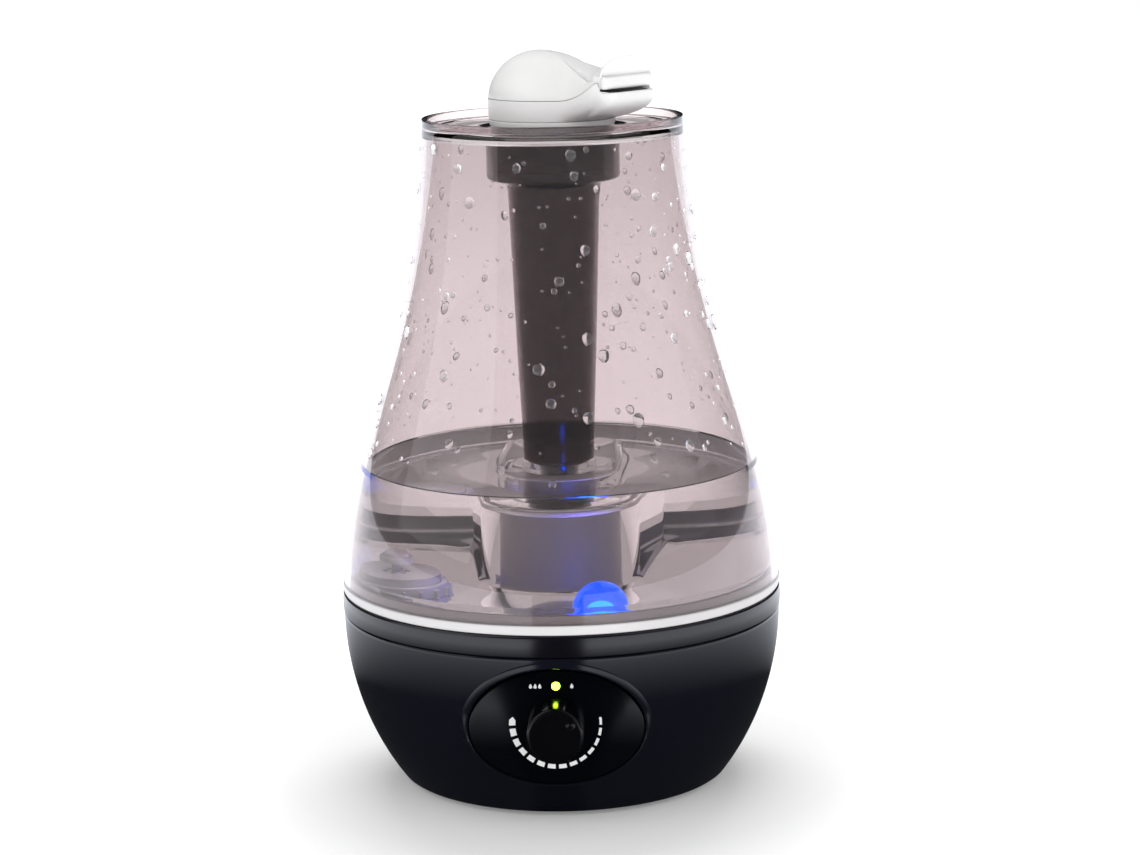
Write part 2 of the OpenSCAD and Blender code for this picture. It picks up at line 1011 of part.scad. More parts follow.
// the half round hood over the mouth
module hood_form() {
    hull() {
        for (side = [-1, 1]) {
            translate([20, side * 12, nozzle_seam_z + gap])
                cylinder(r = 4, h = 3, $fn = 24);
            translate([mouth_s - 4, side * (mouth_w - 1.5), hood_z - 6])
                cylinder(r = 2, h = 5, $fn = 24);
        }
        translate([mouth_s - 5, 0, hood_z])
            scale([1, 1, hood_rise])
                rotate([0, 90, 0])
                    cylinder(r = mouth_w, h = 5, $fn = 64);
    }
}

module nozzle_cover() {
    color([0.95, 0.95, 0.94])
        along_spout()
            difference() {
                union() {
                    dome_form(0);
                    hood_form();
                }
                dome_form(nozzle_wall);
                disc(nozzle_r - nozzle_wall, nozzle_seam_z - 1, nozzle_seam_z + 2);
                translate([10, -12.5, nozzle_seam_z - 1])
                    cube([60, 25, 9]);
            }
}

base_bowl();
basin();
bottom_plate();
feet();
bottom_screws();
basin_screws();
basin_seal();
control_panel();
led_lens();
led_board();
potentiometer();
pot_nut();
knob();
knob_shaft();
main_board();
board_parts();
heat_sink();
transducer_disc();
transducer_gasket();
transducer_retainer();
transducer_screws();
blower_housing();
fan_motor();
fan_shaft();
fan_impeller();
blower_screws();
air_duct();
float_ring();
float_magnet();
float_clip();
reed_switch();
light_window();
light_led();
light_board();
power_jack();
fan_wires();
transducer_wires();
jack_wires();
tank_shell();
mist_tube();
tube_seal();
tank_bottom();
light_dome();
dome_seal();
filler_cap();
cap_gasket();
valve_plunger();
valve_seal();
valve_spring();
nozzle_base();
nozzle_seal();
nozzle_body();
nozzle_cover();
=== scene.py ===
"""Looks of the cool mist humidifier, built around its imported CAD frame. Metres, +Z up, knob towards -Y."""

import math
import random

import bmesh
import bpy
from mathutils import Matrix, Vector


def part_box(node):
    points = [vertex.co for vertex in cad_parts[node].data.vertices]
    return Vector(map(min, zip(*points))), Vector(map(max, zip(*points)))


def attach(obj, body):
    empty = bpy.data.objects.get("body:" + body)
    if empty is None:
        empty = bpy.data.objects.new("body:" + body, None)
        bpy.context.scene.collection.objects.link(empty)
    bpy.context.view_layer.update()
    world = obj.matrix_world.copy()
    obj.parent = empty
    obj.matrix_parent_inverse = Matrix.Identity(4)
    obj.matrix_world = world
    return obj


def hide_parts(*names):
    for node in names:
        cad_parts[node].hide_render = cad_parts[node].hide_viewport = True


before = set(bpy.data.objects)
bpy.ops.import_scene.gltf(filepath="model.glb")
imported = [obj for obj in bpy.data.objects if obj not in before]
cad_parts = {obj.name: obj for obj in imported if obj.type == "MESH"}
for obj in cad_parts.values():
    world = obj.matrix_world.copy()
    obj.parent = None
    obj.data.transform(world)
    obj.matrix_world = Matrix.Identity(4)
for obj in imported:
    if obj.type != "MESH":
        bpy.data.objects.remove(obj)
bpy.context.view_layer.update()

MM = 0.001
FULL = 2 * math.pi


# -------- helpers --------

def smoothstep(a, b, x):
    t = min(1.0, max(0.0, (x - a) / (b - a)))
    return t * t * (3 - 2 * t)


def bezier(a, b, c, d, t):
    u = 1 - t
    return tuple(u ** 3 * p + 3 * u * u * t * q + 3 * u * t * t * r + t ** 3 * s
                 for p, q, r, s in zip(a, b, c, d))


def node_mm(name):
    """A CAD node's lowest and highest corners, in millimetres."""
    low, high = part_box(name)
    return [v / MM for v in low], [v / MM for v in high]


def node_centre(name):
    low, high = node_mm(name)
    return [(a + b) / 2 for a, b in zip(low, high)]


def add_mesh(name, verts, faces, material, smooth=True, angle=40):
    """A new object from points in millimetres."""
    mesh = bpy.data.meshes.new(name)
    mesh.from_pydata([Vector(v) * MM for v in verts], [], faces)
    bm = bmesh.new()
    bm.from_mesh(mesh)
    bmesh.ops.remove_doubles(bm, verts=bm.verts, dist=0.002 * MM)
    bmesh.ops.recalc_face_normals(bm, faces=bm.faces)
    bm.to_mesh(mesh)
    bm.free()
    if smooth:
        mesh.shade_smooth()
        mesh.set_sharp_from_angle(angle=math.radians(angle))
    mesh.materials.append(material)
    obj = bpy.data.objects.new(name, mesh)
    bpy.context.scene.collection.objects.link(obj)
    return obj


def lathe_data(profile, segments, centre=(0, 0)):
    """Points and faces of a closed profile of (radius, height) turned about a vertical axis."""
    verts, faces = [], []
    count = len(profile)
    for i in range(segments):
        a = FULL * i / segments
        verts += [(centre[0] + r * math.cos(a), centre[1] + r * math.sin(a), z) for r, z in profile]
    for i in range(segments):
        j = (i + 1) % segments
        for k in range(count):
            n = (k + 1) % count
            if profile[k][0] < 1e-6 and profile[n][0] < 1e-6:
                continue
            faces.append((i * count + k, j * count + k, j * count + n, i * count + n))
    return verts, faces


def lathe(name, profile, material, segments, centre=(0, 0)):
    verts, faces = lathe_data(profile, segments, centre)
    return add_mesh(name, verts, faces, material)


def rounded(points, radius, steps=5, closed=True):
    """A polygon's points with each corner made a curve. radius is one number, or one for each corner."""
    out = []
    count = len(points)
    for i, p in enumerate(points):
        r = radius[i] if isinstance(radius, (list, tuple)) else radius
        p = Vector(p)
        if r <= 0 or (not closed and i in (0, count - 1)):
            out.append(tuple(p))
            continue
        a = Vector(points[i - 1]) - p
        b = Vector(points[(i + 1) % count]) - p
        cut = min(r, a.length * 0.49, b.length * 0.49)
        start, end = p + a.normalized() * cut, p + b.normalized() * cut
        for k in range(steps + 1):
            t = k / steps
            out.append(tuple((1 - t) ** 2 * start + 2 * (1 - t) * t * p + t * t * end))
    return out


def box_data(low, high):
    (x0, y0, z0), (x1, y1, z1) = low, high
    verts = [(x, y, z) for x in (x0, x1) for y in (y0, y1) for z in (z0, z1)]
    faces = [(0, 1, 3, 2), (4, 6, 7, 5), (0, 4, 5, 1), (2, 3, 7, 6), (0, 2, 6, 4), (1, 5, 7, 3)]
    return verts, faces


def joined(*parts):
    """Several sets of points and faces as one."""
    verts, faces = [], []
    for v, f in parts:
        base = len(verts)
        verts += v
        faces += [tuple(i + base for i in face) for face in f]
    return verts, faces


def put(obj, body, slot_name, *nodes):
    """Makes a piece ride on its body, in place of CAD nodes. slot_name, its finish slot, is not used."""
    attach(obj, body)
    if nodes:
        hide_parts(*nodes)
    return obj


def bevel(obj, width, segments=3, angle=35):
    m = obj.modifiers.new("edges", "BEVEL")
    m.width = width * MM
    m.segments = segments
    m.limit_method = "ANGLE"
    m.angle_limit = math.radians(angle)
    m.harden_normals = False


# -------- materials --------

def material(name):
    mat = bpy.data.materials.new(name)
    mat.use_nodes = True
    return mat, mat.node_tree.nodes, mat.node_tree.links, mat.node_tree.nodes["Principled BSDF"]


def noise_node(nodes, links, scale, detail=2.0):
    source = nodes.new("ShaderNodeTexCoord")
    tex = nodes.new("ShaderNodeTexNoise")
    tex.inputs["Scale"].default_value = scale
    tex.inputs["Detail"].default_value = detail
    links.new(source.outputs["Object"], tex.inputs["Vector"])
    return tex


def ramp_node(nodes, links, source, low, high):
    """A drift between two colours, led by the middle part of a noise."""
    ramp = nodes.new("ShaderNodeValToRGB")
    ramp.color_ramp.elements[0].position = 0.3
    ramp.color_ramp.elements[1].position = 0.7
    ramp.color_ramp.elements[0].color = (*low, 1)
    ramp.color_ramp.elements[1].color = (*high, 1)
    links.new(source, ramp.inputs["Fac"])
    return ramp


def plastic(name, colour, roughness, spread=0.04, grain=0.0, grain_scale=900, specular=0.5, tint=0.06):
    """Moulded plastic: a faint drift of colour and gloss, and a fine grain where grain is given."""
    mat, nodes, links, shader = material(name)
    tex = noise_node(nodes, links, 18)
    low = tuple(max(0, c * (1 - tint)) for c in colour)
    high = tuple(min(1, c * (1 + tint)) for c in colour)
    ramp = ramp_node(nodes, links, tex.outputs["Fac"], low, high)
    links.new(ramp.outputs["Color"], shader.inputs["Base Color"])
    gloss = nodes.new("ShaderNodeMapRange")
    gloss.inputs["To Min"].default_value = max(0.02, roughness - spread)
    gloss.inputs["To Max"].default_value = roughness + spread
    links.new(tex.outputs["Fac"], gloss.inputs["Value"])
    links.new(gloss.outputs["Result"], shader.inputs["Roughness"])
    shader.inputs["Specular IOR Level"].default_value = specular
    if grain:
        fine = noise_node(nodes, links, grain_scale, 3)
        bump = nodes.new("ShaderNodeBump")
        bump.inputs["Strength"].default_value = grain
        bump.inputs["Distance"].default_value = 0.0002
        links.new(fine.outputs["Fac"], bump.inputs["Height"])
        links.new(bump.outputs["Normal"], shader.inputs["Normal"])
    return mat


def metal(name, colour, roughness, stretch=(1, 1, 1)):
    """Plain metal with fine drawn lines."""
    mat, nodes, links, shader = material(name)
    source = nodes.new("ShaderNodeTexCoord")
    place = nodes.new("ShaderNodeMapping")
    place.inputs["Scale"].default_value = stretch
    tex = nodes.new("ShaderNodeTexNoise")
    tex.inputs["Scale"].default_value = 900
    links.new(source.outputs["Object"], place.inputs["Vector"])
    links.new(place.outputs["Vector"], tex.inputs["Vector"])
    ramp = ramp_node(nodes, links, tex.outputs["Fac"], tuple(c * 0.85 for c in colour), colour)
    links.new(ramp.outputs["Color"], shader.inputs["Base Color"])
    shader.inputs["Metallic"].default_value = 1
    gloss = nodes.new("ShaderNodeMapRange")
    gloss.inputs["To Min"].default_value = roughness * 0.8
    gloss.inputs["To Max"].default_value = roughness * 1.3
    links.new(tex.outputs["Fac"], gloss.inputs["Value"])
    links.new(gloss.outputs["Result"], shader.inputs["Roughness"])
    return mat


def clear_plastic(name, colour, ior=1.45, roughness=0.015):
    """Clear plastic or water, tinted at each surface."""
    mat, nodes, links, shader = material(name)
    tex = noise_node(nodes, links, 9)
    low = tuple(c * 0.97 for c in colour)
    ramp = ramp_node(nodes, links, tex.outputs["Fac"], low, colour)
    links.new(ramp.outputs["Color"], shader.inputs["Base Color"])
    shader.inputs["Transmission Weight"].default_value = 1
    shader.inputs["IOR"].default_value = ior
    shader.inputs["Roughness"].default_value = roughness
    return mat


def glowing(name, colour, glow, strength, transmission=0.0, roughness=0.1):
    """Plastic that is lit from within."""
    mat, nodes, links, shader = material(name)
    tex = noise_node(nodes, links, 60)
    ramp = ramp_node(nodes, links, tex.outputs["Fac"], tuple(c * 0.9 for c in colour), colour)
    links.new(ramp.outputs["Color"], shader.inputs["Base Color"])
    shader.inputs["Emission Color"].default_value = (*glow, 1)
    shader.inputs["Emission Strength"].default_value = strength
    shader.inputs["Transmission Weight"].default_value = transmission
    shader.inputs["Roughness"].default_value = roughness
    return mat


BOWL = plastic("bowl_gloss_black", (0.004, 0.0045, 0.008), 0.13, 0.02, specular=0.42)
BAND = plastic("band_gloss_black", (0.003, 0.003, 0.0055), 0.17, 0.02, specular=0.6)
PANEL = plastic("panel_gloss_black", (0.0015, 0.0018, 0.003), 0.12, 0.02, specular=0.28)
KNOB = plastic("knob_satin_black", (0.0015, 0.0015, 0.0025), 0.22, 0.03, grain=0.05, specular=0.45)
MARKS = plastic("mark_white", (0.85, 0.85, 0.85), 0.45)
WHITE = plastic("tank_white", (0.61, 0.60, 0.605), 0.3, 0.04, grain=0.04)
NOZZLE = plastic("nozzle_white", (0.74, 0.74, 0.735), 0.33, 0.04, grain=0.06)
SMOKE = clear_plastic("tank_smoke", (0.66, 0.60, 0.61))
TUBE = clear_plastic("tube_smoke", (0.12, 0.085, 0.09))
WATER = clear_plastic("tank_water", (0.97, 0.97, 0.98), ior=1.333, roughness=0.0)
DROPS = clear_plastic("water_drops", (0.95, 0.95, 0.96), ior=1.333, roughness=0.0)
DOME = glowing("dome_blue", (0.02, 0.22, 0.95), (0.0, 0.10, 1.0), 0.8, 0.9, 0.03)
CORE = glowing("dome_core", (0.0, 0.6, 1.0), (0.04, 0.5, 1.0), 9.0)
LED = glowing("led_lime", (0.6, 1.0, 0.05), (0.55, 1.0, 0.03), 12.0)
SILICONE = plastic("silicone_clear", (0.62, 0.62, 0.6), 0.55, 0.05)
DARK_RUBBER = plastic("rubber_black", (0.02, 0.02, 0.02), 0.75, 0.05, grain=0.3)
PLATE = plastic("plate_black", (0.018, 0.018, 0.02), 0.5, 0.06, grain=0.35)


# -------- levels taken from the frame --------

SHELL_LOW, SHELL_HIGH = node_mm("tank_shell")
BOWL_LOW, BOWL_HIGH = node_mm("base_bowl")
BOTTOM_LOW, BOTTOM_HIGH = node_mm("tank_bottom")
TUBE_LOW, TUBE_HIGH = node_mm("mist_tube")
KNOB_LOW, KNOB_HIGH = node_mm("knob")

BOWL_R = 95.0
BOWL_Z = 76.0
BOWL_CURVE = 111.0
BOWL_FOOT = BOWL_LOW[2]
SEAM = BOWL_HIGH[2]
BAND_TOP = 84.6
RIM_Z = SHELL_HIGH[2] - 0.4
DECK_Z = RIM_Z - 3
RIM_R = 55.6
COLLAR_IN_R = 26.2
FOOT_R = 94.8
SHELL_FOOT = SHELL_LOW[2]
WALL = 2.5
WATER_Z = 139.0
CHAMBER_W = 26.0
CHAMBER_BACK = 68.0
CHAMBER_HUB = 16.0       # on +Y, a point inside the chamber that sees all of its wall
CHAMBER_Z = 121.0
FLOOR_Z = 87.0
AROUND = 192             # points in each loop of the tank's pieces


def bowl_radius(z):
    return BOWL_R * math.sqrt(max(0.0, 1 - ((BOWL_Z - z) / BOWL_CURVE) ** 2))


def tank_curve(steps, inset=0.0):
    """Points up the tank's wall, moved inwards along its normal."""
    a, b, c, d = (FOOT_R, SHELL_FOOT), (90, 160), (61.2, 174), (RIM_R, RIM_Z)
    out = []
    for i in range(steps + 1):
        t = i / steps
        p = bezier(a, b, c, d, t)
        q = bezier(a, b, c, d, min(1, t + 0.001))
        o = bezier(a, b, c, d, max(0, t - 0.001))
        along = Vector((q[0] - o[0], q[1] - o[1])).normalized()
        out.append((p[0] - along.y * inset, p[1] + along.x * inset))
    return out


def tank_radius(z, inset=0.0):
    """The tank wall's radius at height z."""
    points = tank_curve(120, inset)
    for (r0, z0), (r1, z1) in zip(points, points[1:]):
        if z0 <= z <= z1:
            return r0 + (r1 - r0) * (z - z0) / (z1 - z0)
    return points[0][0] if z < points[0][1] else points[-1][0]


# -------- tank --------

def make_tank_shell():
    """The tinted wall with its rim, and the deck inside the rim, as one skin."""
    outer = tank_curve(72)
    inner = [p for p in tank_curve(72, WALL) if p[1] < DECK_Z - 3.4]
    top = rounded([(RIM_R, RIM_Z - 0.6), (RIM_R, RIM_Z + 0.4), (RIM_R - 2.4, RIM_Z + 0.4),
                   (RIM_R - 3, DECK_Z), (49.6, DECK_Z), (48.9, DECK_Z - 0.7), (COLLAR_IN_R, DECK_Z - 0.7),
                   (COLLAR_IN_R, DECK_Z - 2.5), (RIM_R - 4.2, DECK_Z - 2.5), (RIM_R - 2.1, DECK_Z - 4.5)],
                  [0.3, 0.6, 0.8, 0.8, 0.4, 0.4, 0.5, 0.3, 1.5, 1.0], closed=False)
    profile = outer[:-1] + top + inner[::-1]
    obj = lathe("tank_wall", profile, SMOKE, AROUND)
    put(obj, "tank", "tank_smoke", "tank_shell")


def make_mist_tube():
    """The tube that hangs in the tank, with the wide collar that takes the nozzle."""
    top = TUBE_HIGH[2]
    low = TUBE_LOW[2]
    outside = rounded([(28.5, top), (28.5, 261.5), (20.4, 259.6), (19.6, 256), (16.8, 178), (15.3, 146),
                       (15.0, low), (13.2, low), (13.6, 146), (15.0, 178), (17.8, 256), (18.8, 262.4),
                       (COLLAR_IN_R, 263), (COLLAR_IN_R, top)],
                      [0, 1.6, 2.5, 6, 30, 16, 0.5, 0.5, 16, 30, 6, 2, 1.2, 0], 6)
    obj = lathe("mist_tube_clear", outside, TUBE, 96)
    put(obj, "tank", "tube_smoke", "mist_tube")


def in_chamber(x, y, inset):
    """Whether a point lies in the mist chamber's plan: round in front, flat with rounded corners behind."""
    w = CHAMBER_W - inset
    back = CHAMBER_BACK - inset
    corner = 12 - inset
    if y < 0:
        return x * x + y * y < w * w
    if abs(x) > w or y > back:
        return False
    dx, dy = abs(x) - (w - corner), y - (back - corner)
    return dx < 0 or dy < 0 or dx * dx + dy * dy < corner * corner


def chamber_loop(inset, z):
    """The chamber's outline at height z, found along each direction from the hub."""
    loop = []
    for i in range(AROUND):
        a = FULL * i / AROUND
        near, far = 0.0, 90.0
        for _ in range(22):
            mid = (near + far) / 2
            if in_chamber(mid * math.cos(a), CHAMBER_HUB + mid * math.sin(a), inset):
                near = mid
            else:
                far = mid
        loop.append((near * math.cos(a), CHAMBER_HUB + near * math.sin(a), z))
    return loop


def circle_loop(r, z):
    return [(r * math.cos(FULL * i / AROUND), r * math.sin(FULL * i / AROUND), z) for i in range(AROUND)]


def loops_data(loops, ring=True):
    """Points and faces through equal loops. With ring the last joins the first, otherwise both are capped."""
    count = len(loops[0])
    verts = [p for loop in loops for p in loop]
    faces = []
    last = len(loops) if ring else len(loops) - 1
    for i in range(last):
        j = (i + 1) % len(loops)
        for k in range(count):
            n = (k + 1) % count
            faces.append((i * count + k, i * count + n, j * count + n, j * count + k))
    if not ring:
        faces.append(tuple(range(count))[::-1])
        faces.append(tuple((len(loops) - 1) * count + k for k in range(count)))
    return verts, faces


def make_tank_bottom():
    """The white floor with its outer ring, the mist chamber and its neck, as one surface."""
    low = BOTTOM_LOW[2]
    ring_r = BOTTOM_HIGH[0]
    base = BAND_TOP + 0.2
    roof = CHAMBER_Z - 2.2
    foot, edge = 3.0, 3.5
    ring = rounded([(76, base), (83, base), (83, low), (85.3, low), (85.3, base), (ring_r - 0.4, base),
                    (ring_r, base + 0.6), (ring_r, SHELL_FOOT - 0.5), (ring_r - 0.6, SHELL_FOOT - 0.05),
                    (91.7, SHELL_FOOT - 0.05), (91.7, 92.4), (89.4, 92.4), (89.4, FLOOR_Z), (80, FLOOR_Z)],
                   [0, 0.8, 0.4, 0.4, 0.3, 0.3, 0.4, 0.4, 0.4, 0.2, 0.5, 0.5, 1.6, 0], 4, closed=False)
    loops = [chamber_loop(2.4, base)]
    loops += [circle_loop(r, z) for r, z in ring]
    for i in range(6):
        a = math.pi / 2 * i / 5
        loops.append(chamber_loop(-foot * (1 - math.sin(a)), FLOOR_Z + foot * (1 - math.cos(a))))
    for i in range(6):
        a = math.pi / 2 * i / 5
        loops.append(chamber_loop(edge * (1 - math.cos(a)), CHAMBER_Z - edge + edge * math.sin(a)))
    neck = rounded([(17, CHAMBER_Z), (11.5, CHAMBER_Z), (11.5, 131), (9.5, 131), (9.5, roof), (15, roof)],
                   [0, 1.2, 0.6, 0.6, 0.6, 0], 4, closed=False)
    loops += [circle_loop(r, z) for r, z in neck]
    for i in range(4):
        a = math.pi / 2 * (1 - i / 3)
        loops.append(chamber_loop(2.4 + 2 * (1 - math.cos(a)), roof - 2 + 2 * math.sin(a)))
    verts, faces = loops_data(loops)
    obj = add_mesh("tank_floor", verts, faces, WHITE, angle=50)
    put(obj, "tank", "white_plastic", "tank_bottom")

    cap_x, cap_y, _ = node_centre("filler_cap")
    neck_wall = rounded([(17.2, 82.4), (19.5, 82.4), (19.5, 92), (17.2, 92)], 0.5, 3)
    parts = [lathe_data(neck_wall, 72, (cap_x, cap_y))]
    for i in range(16):
        turn = Matrix.Rotation(FULL * i / 16, 3, "Z")
        v, f = box_data((19.3, -0.8, FLOOR_Z - 0.3), (20.9, 0.8, 90.6))
        parts.append(([tuple(turn @ Vector(p) + Vector((cap_x, cap_y, 0))) for p in v], f))
    verts, faces = joined(*parts)
    ribs = add_mesh("filler_neck", verts, faces, WHITE)
    bevel(ribs, 0.25, 2)
    put(ribs, "tank", "white_plastic")


def make_dome():
    """The light's clear dome on its flange, and the bright core low inside it."""
    x, y, _ = node_centre("light_dome")
    r, wall = 11.0, 2
    low, mid = 88.1, 91.0
    flange = [(13.0, low), (13.0, low + 1.0), (12.4, low + 1.4), (r + 0.6, low + 1.5)]
    outer = [(r * math.cos(math.pi / 2 * i / 20), mid + r * math.sin(math.pi / 2 * i / 20))
             for i in range(21)]
    inner = [((r - wall) * math.sin(math.pi / 2 * i / 16), mid + (r - wall) * math.cos(math.pi / 2 * i / 16))
             for i in range(17)]
    profile = flange + outer + inner + [(r - wall, low)]
    shell = lathe("light_dome_clear", profile, DOME, 64, (x, y))
    put(shell, "tank", "dome_blue", "light_dome")
    core = [(0, 94), (2.2, 93.7), (4.2, 92.8), (5.6, 91.2), (6.2, 89.6), (6.4, 88.3), (0, 88.3)]
    glow = lathe("light_dome_core", core, CORE, 48, (x, y))
    put(glow, "tank", "dome_blue")


def make_water():
    """The water. It stays a hair inside the tank's wall, and it goes round the chamber and the tube."""
    r_top = tank_radius(WATER_Z, WALL + 0.1)
    side = [p for p in tank_curve(60, WALL + 0.1) if 93 < p[1] < WATER_Z - 1.5]
    tube_r = 15.35
    low = FLOOR_Z + 0.1
    loops = [circle_loop(tube_r, CHAMBER_Z + 0.6), circle_loop(tube_r, WATER_Z + 0.8),
             circle_loop(tube_r + 0.4, WATER_Z + 0.3), circle_loop(tube_r + 1.6, WATER_Z),
             circle_loop(r_top - 1.8, WATER_Z), circle_loop(r_top - 0.6, WATER_Z + 0.25),
             circle_loop(r_top, WATER_Z + 0.9)]
    loops += [circle_loop(r, z) for r, z in side[::-1]]
    loops += [circle_loop(89.2, 92.7), circle_loop(89.2, low), circle_loop(82, low)]
    loops += [chamber_loop(-3.2, low), chamber_loop(-1.2, low + 1), chamber_loop(-0.1, low + 3),
              chamber_loop(-0.1, CHAMBER_Z - 3.4), chamber_loop(1, CHAMBER_Z - 0.8),
              chamber_loop(3.6, CHAMBER_Z + 0.1), circle_loop(20, CHAMBER_Z + 0.1)]
    verts, faces = loops_data(loops)
    obj = add_mesh("tank_water", verts, faces, WATER, angle=30)
    put(obj, "tank", "tank_smoke")


def make_drops():
    """Drops that cling to the tank's wall above the water."""
    rng = random.Random(7)
    verts, faces = [], []
    rings, spokes = 5, 10
    height = 0.55        # of a drop, for each unit of its half width
    for _ in range(520):
        z = WATER_Z + 6 + (DECK_Z - 10 - WATER_Z) * rng.random() ** 0.9
        a = rng.uniform(0, FULL)
        size = 0.55 + 2.2 * rng.random() ** 4
        stretch = 1 + 0.7 * rng.random() * (size > 1.1)
        r = tank_radius(z, 0) + 0.02
        slope = math.atan2(tank_radius(z + 1) - tank_radius(z - 1), 2)
        out = Vector((math.cos(a) * math.cos(slope), math.sin(a) * math.cos(slope), -math.sin(slope)))
        side = Vector((-math.sin(a), math.cos(a), 0))
        up = out.cross(side)
        centre = Vector((r * math.cos(a), r * math.sin(a), z))
        base = len(verts)
        verts.append(tuple(centre + out * size * height))
        for i in range(1, rings + 1):
            b = math.pi / 2 * i / rings
            for k in range(spokes):
                c = FULL * k / spokes
                drop = size * math.sin(b)
                point = centre + side * drop * math.cos(c) + out * size * height * math.cos(b)
                point += up * drop * math.sin(c) * (stretch if math.sin(c) < 0 else 1)
                verts.append(tuple(point))
        for k in range(spokes):
            n = (k + 1) % spokes
            faces.append((base, base + 1 + k, base + 1 + n))
            for i in range(rings - 1):
                o = base + 1 + i * spokes
                faces.append((o + k, o + spokes + k, o + spokes + n, o + n))
        faces.append(tuple(base + 1 + (rings - 1) * spokes + k for k in range(spokes))[::-1])
    obj = add_mesh("wall_drops", verts, faces, DROPS, angle=60)
    put(obj, "tank", "tank_smoke")


# -------- base --------

PANEL_A = 36.7
PANEL_B = 24.4
PANEL_Z = 43.0
PANEL_FACE = -node_mm("control_panel")[0][1]
LIP = 2.0                # how far the bowl's opening stands outside the panel's oval
OVERHANG = 3.2           # how much higher the opening reaches at its top
BOWL_WALL = 2.6

BASIN_IN_R, BASIN_OUT_R = 86.0, 88.4
BASIN_FLOOR, BASIN_UNDER = 64.5, 62.0
WELL_R, WELL_FLOOR = 24.0, 54.5
BAY_IN_Y, BAY_OUT_Y = -76.4, -78.6      # the flat part of the basin's wall that clears the panel's works
BAY_TOP, BAY_ROOF = 72.2, 70.0
CHIMNEY_Y = 48.0


def oval_point(t, grow=0.0, raised=False):
    """A point of the panel's oval, moved out along its normal, as x and z. With raised, its top is higher."""
    x, z = PANEL_A * math.cos(t), PANEL_B * math.sin(t)
    nx, nz = math.cos(t) / PANEL_A, math.sin(t) / PANEL_B
    length = math.hypot(nx, nz)
    lift = OVERHANG * max(0.0, math.sin(t)) if raised else 0.0
    return x + nx / length * grow, PANEL_Z + z + nz / length * grow + lift


def bowl_y(x, z):
    """Where the bowl's front surface stands at x and z."""
    r = bowl_radius(z)
    return -math.sqrt(max(0.0, r * r - x * x))


def make_bowl():
    """The bowl, its side an ellipse, with an oval opening at the front whose border follows the panel."""
    around, levels = 360, 74
    top = SEAM - 0.05
    heights = [BOWL_FOOT + 1.0 + (top - 0.6 - BOWL_FOOT - 1.0) * i / levels for i in range(levels + 1)]
    grid = [(bowl_radius(z), z) for z in heights]
    rows = [(bowl_radius(BOWL_FOOT) - 1.6, BOWL_FOOT),
            (bowl_radius(BOWL_FOOT + 0.3) - 0.5, BOWL_FOOT + 0.25)] + grid
    rows += [(bowl_radius(top) - 0.15, top - 0.2), (bowl_radius(top) - 0.6, top)]
    inner = [(bowl_radius(z) - BOWL_WALL, z) for z in reversed(heights[3:])]
    plate_r = 67.9
    rows += [(bowl_radius(top) - BOWL_WALL, top)] + inner + [(plate_r, BOWL_FOOT + 3.4), (plate_r, BOWL_FOOT)]
    a = PANEL_A + LIP
    b = PANEL_B + LIP
    verts, inside = [], []
    for r, z in rows:
        for k in range(around):
            t = FULL * k / around
            x, y = r * math.cos(t), r * math.sin(t)
            tall = b + OVERHANG if z > PANEL_Z else b
            reach = math.hypot(x / a, (z - PANEL_Z) / tall)
            inside.append(y < 0 and reach < 1)
            verts.append((x, y, z))
    faces = []
    count = len(rows)
    moved = set()
    for i in range(count):
        j = (i + 1) % count
        for k in range(around):
            n = (k + 1) % around
            face = (i * around + k, i * around + n, j * around + n, j * around + k)
            hits = [v for v in face if inside[v]]
            if len(hits) == 4:
                continue
            faces.append(face)
            moved.update(hits)
    for v in moved:
        x, y, z = verts[v]
        depth = math.hypot(x, y) - bowl_radius(z)
        tall = b + OVERHANG if z > PANEL_Z else b
        t = math.atan2((z - PANEL_Z) / tall, x / a)
        x, z = a * math.cos(t), PANEL_Z + tall * math.sin(t)
        r = bowl_radius(z) + depth
        verts[v] = (x, -math.sqrt(max(0.0, r * r - x * x)), z)
    obj = add_mesh("bowl_shell", verts, faces, BOWL, angle=40)
    put(obj, "base", "bowl_black", "base_bowl")


def make_panel_frame():
    """The raised lip round the panel: a section swept round the oval, from the bowl to the panel."""
    sweep = []
    steps = 144
    crest = ((3.7, -0.05), (3.0, 0.0), (2.4, 0.25), (1.9, 0.7), (1.4, 0.95), (0.9, 1.0), (0.5, 0.9))
    for k in range(steps):
        t = FULL * k / steps
        lip_y = min(bowl_y(*oval_point(t, 0.9, True)) - 0.3, -PANEL_FACE - 0.8)
        loop = []
        for grow, how in crest:
            x, z = oval_point(t, grow, True)
            surface = bowl_y(x, z)
            proud = 0.12 if how < 0.3 else 0
            loop.append((x, surface + (lip_y - surface) * max(0.0, how) - proud + 0.3 * (how < 0), z))
        for grow, back in ((0.25, 0.4), (0.05, 0.9), (-0.05, 1.5)):
            x, z = oval_point(t, grow, True)
            loop.append((x, lip_y + back, z))
        x, z = oval_point(t, 0.1)
        loop.append((x, -PANEL_FACE + 0.9, z))
        loop.append((x, -PANEL_FACE + 4.2, z))
        x, z = oval_point(t, 1.6)
        loop.append((x, -PANEL_FACE + 4.4, z))
        sweep.append(loop)
    count = len(sweep[0])
    verts = [p for loop in sweep for p in loop]
    faces = []
    for i in range(steps):
        j = (i + 1) % steps
        for k in range(count - 1):
            faces.append((i * count + k, j * count + k, j * count + k + 1, i * count + k + 1))
    obj = add_mesh("panel_frame", verts, faces, BOWL, angle=60)
    put(obj, "base", "bowl_black")


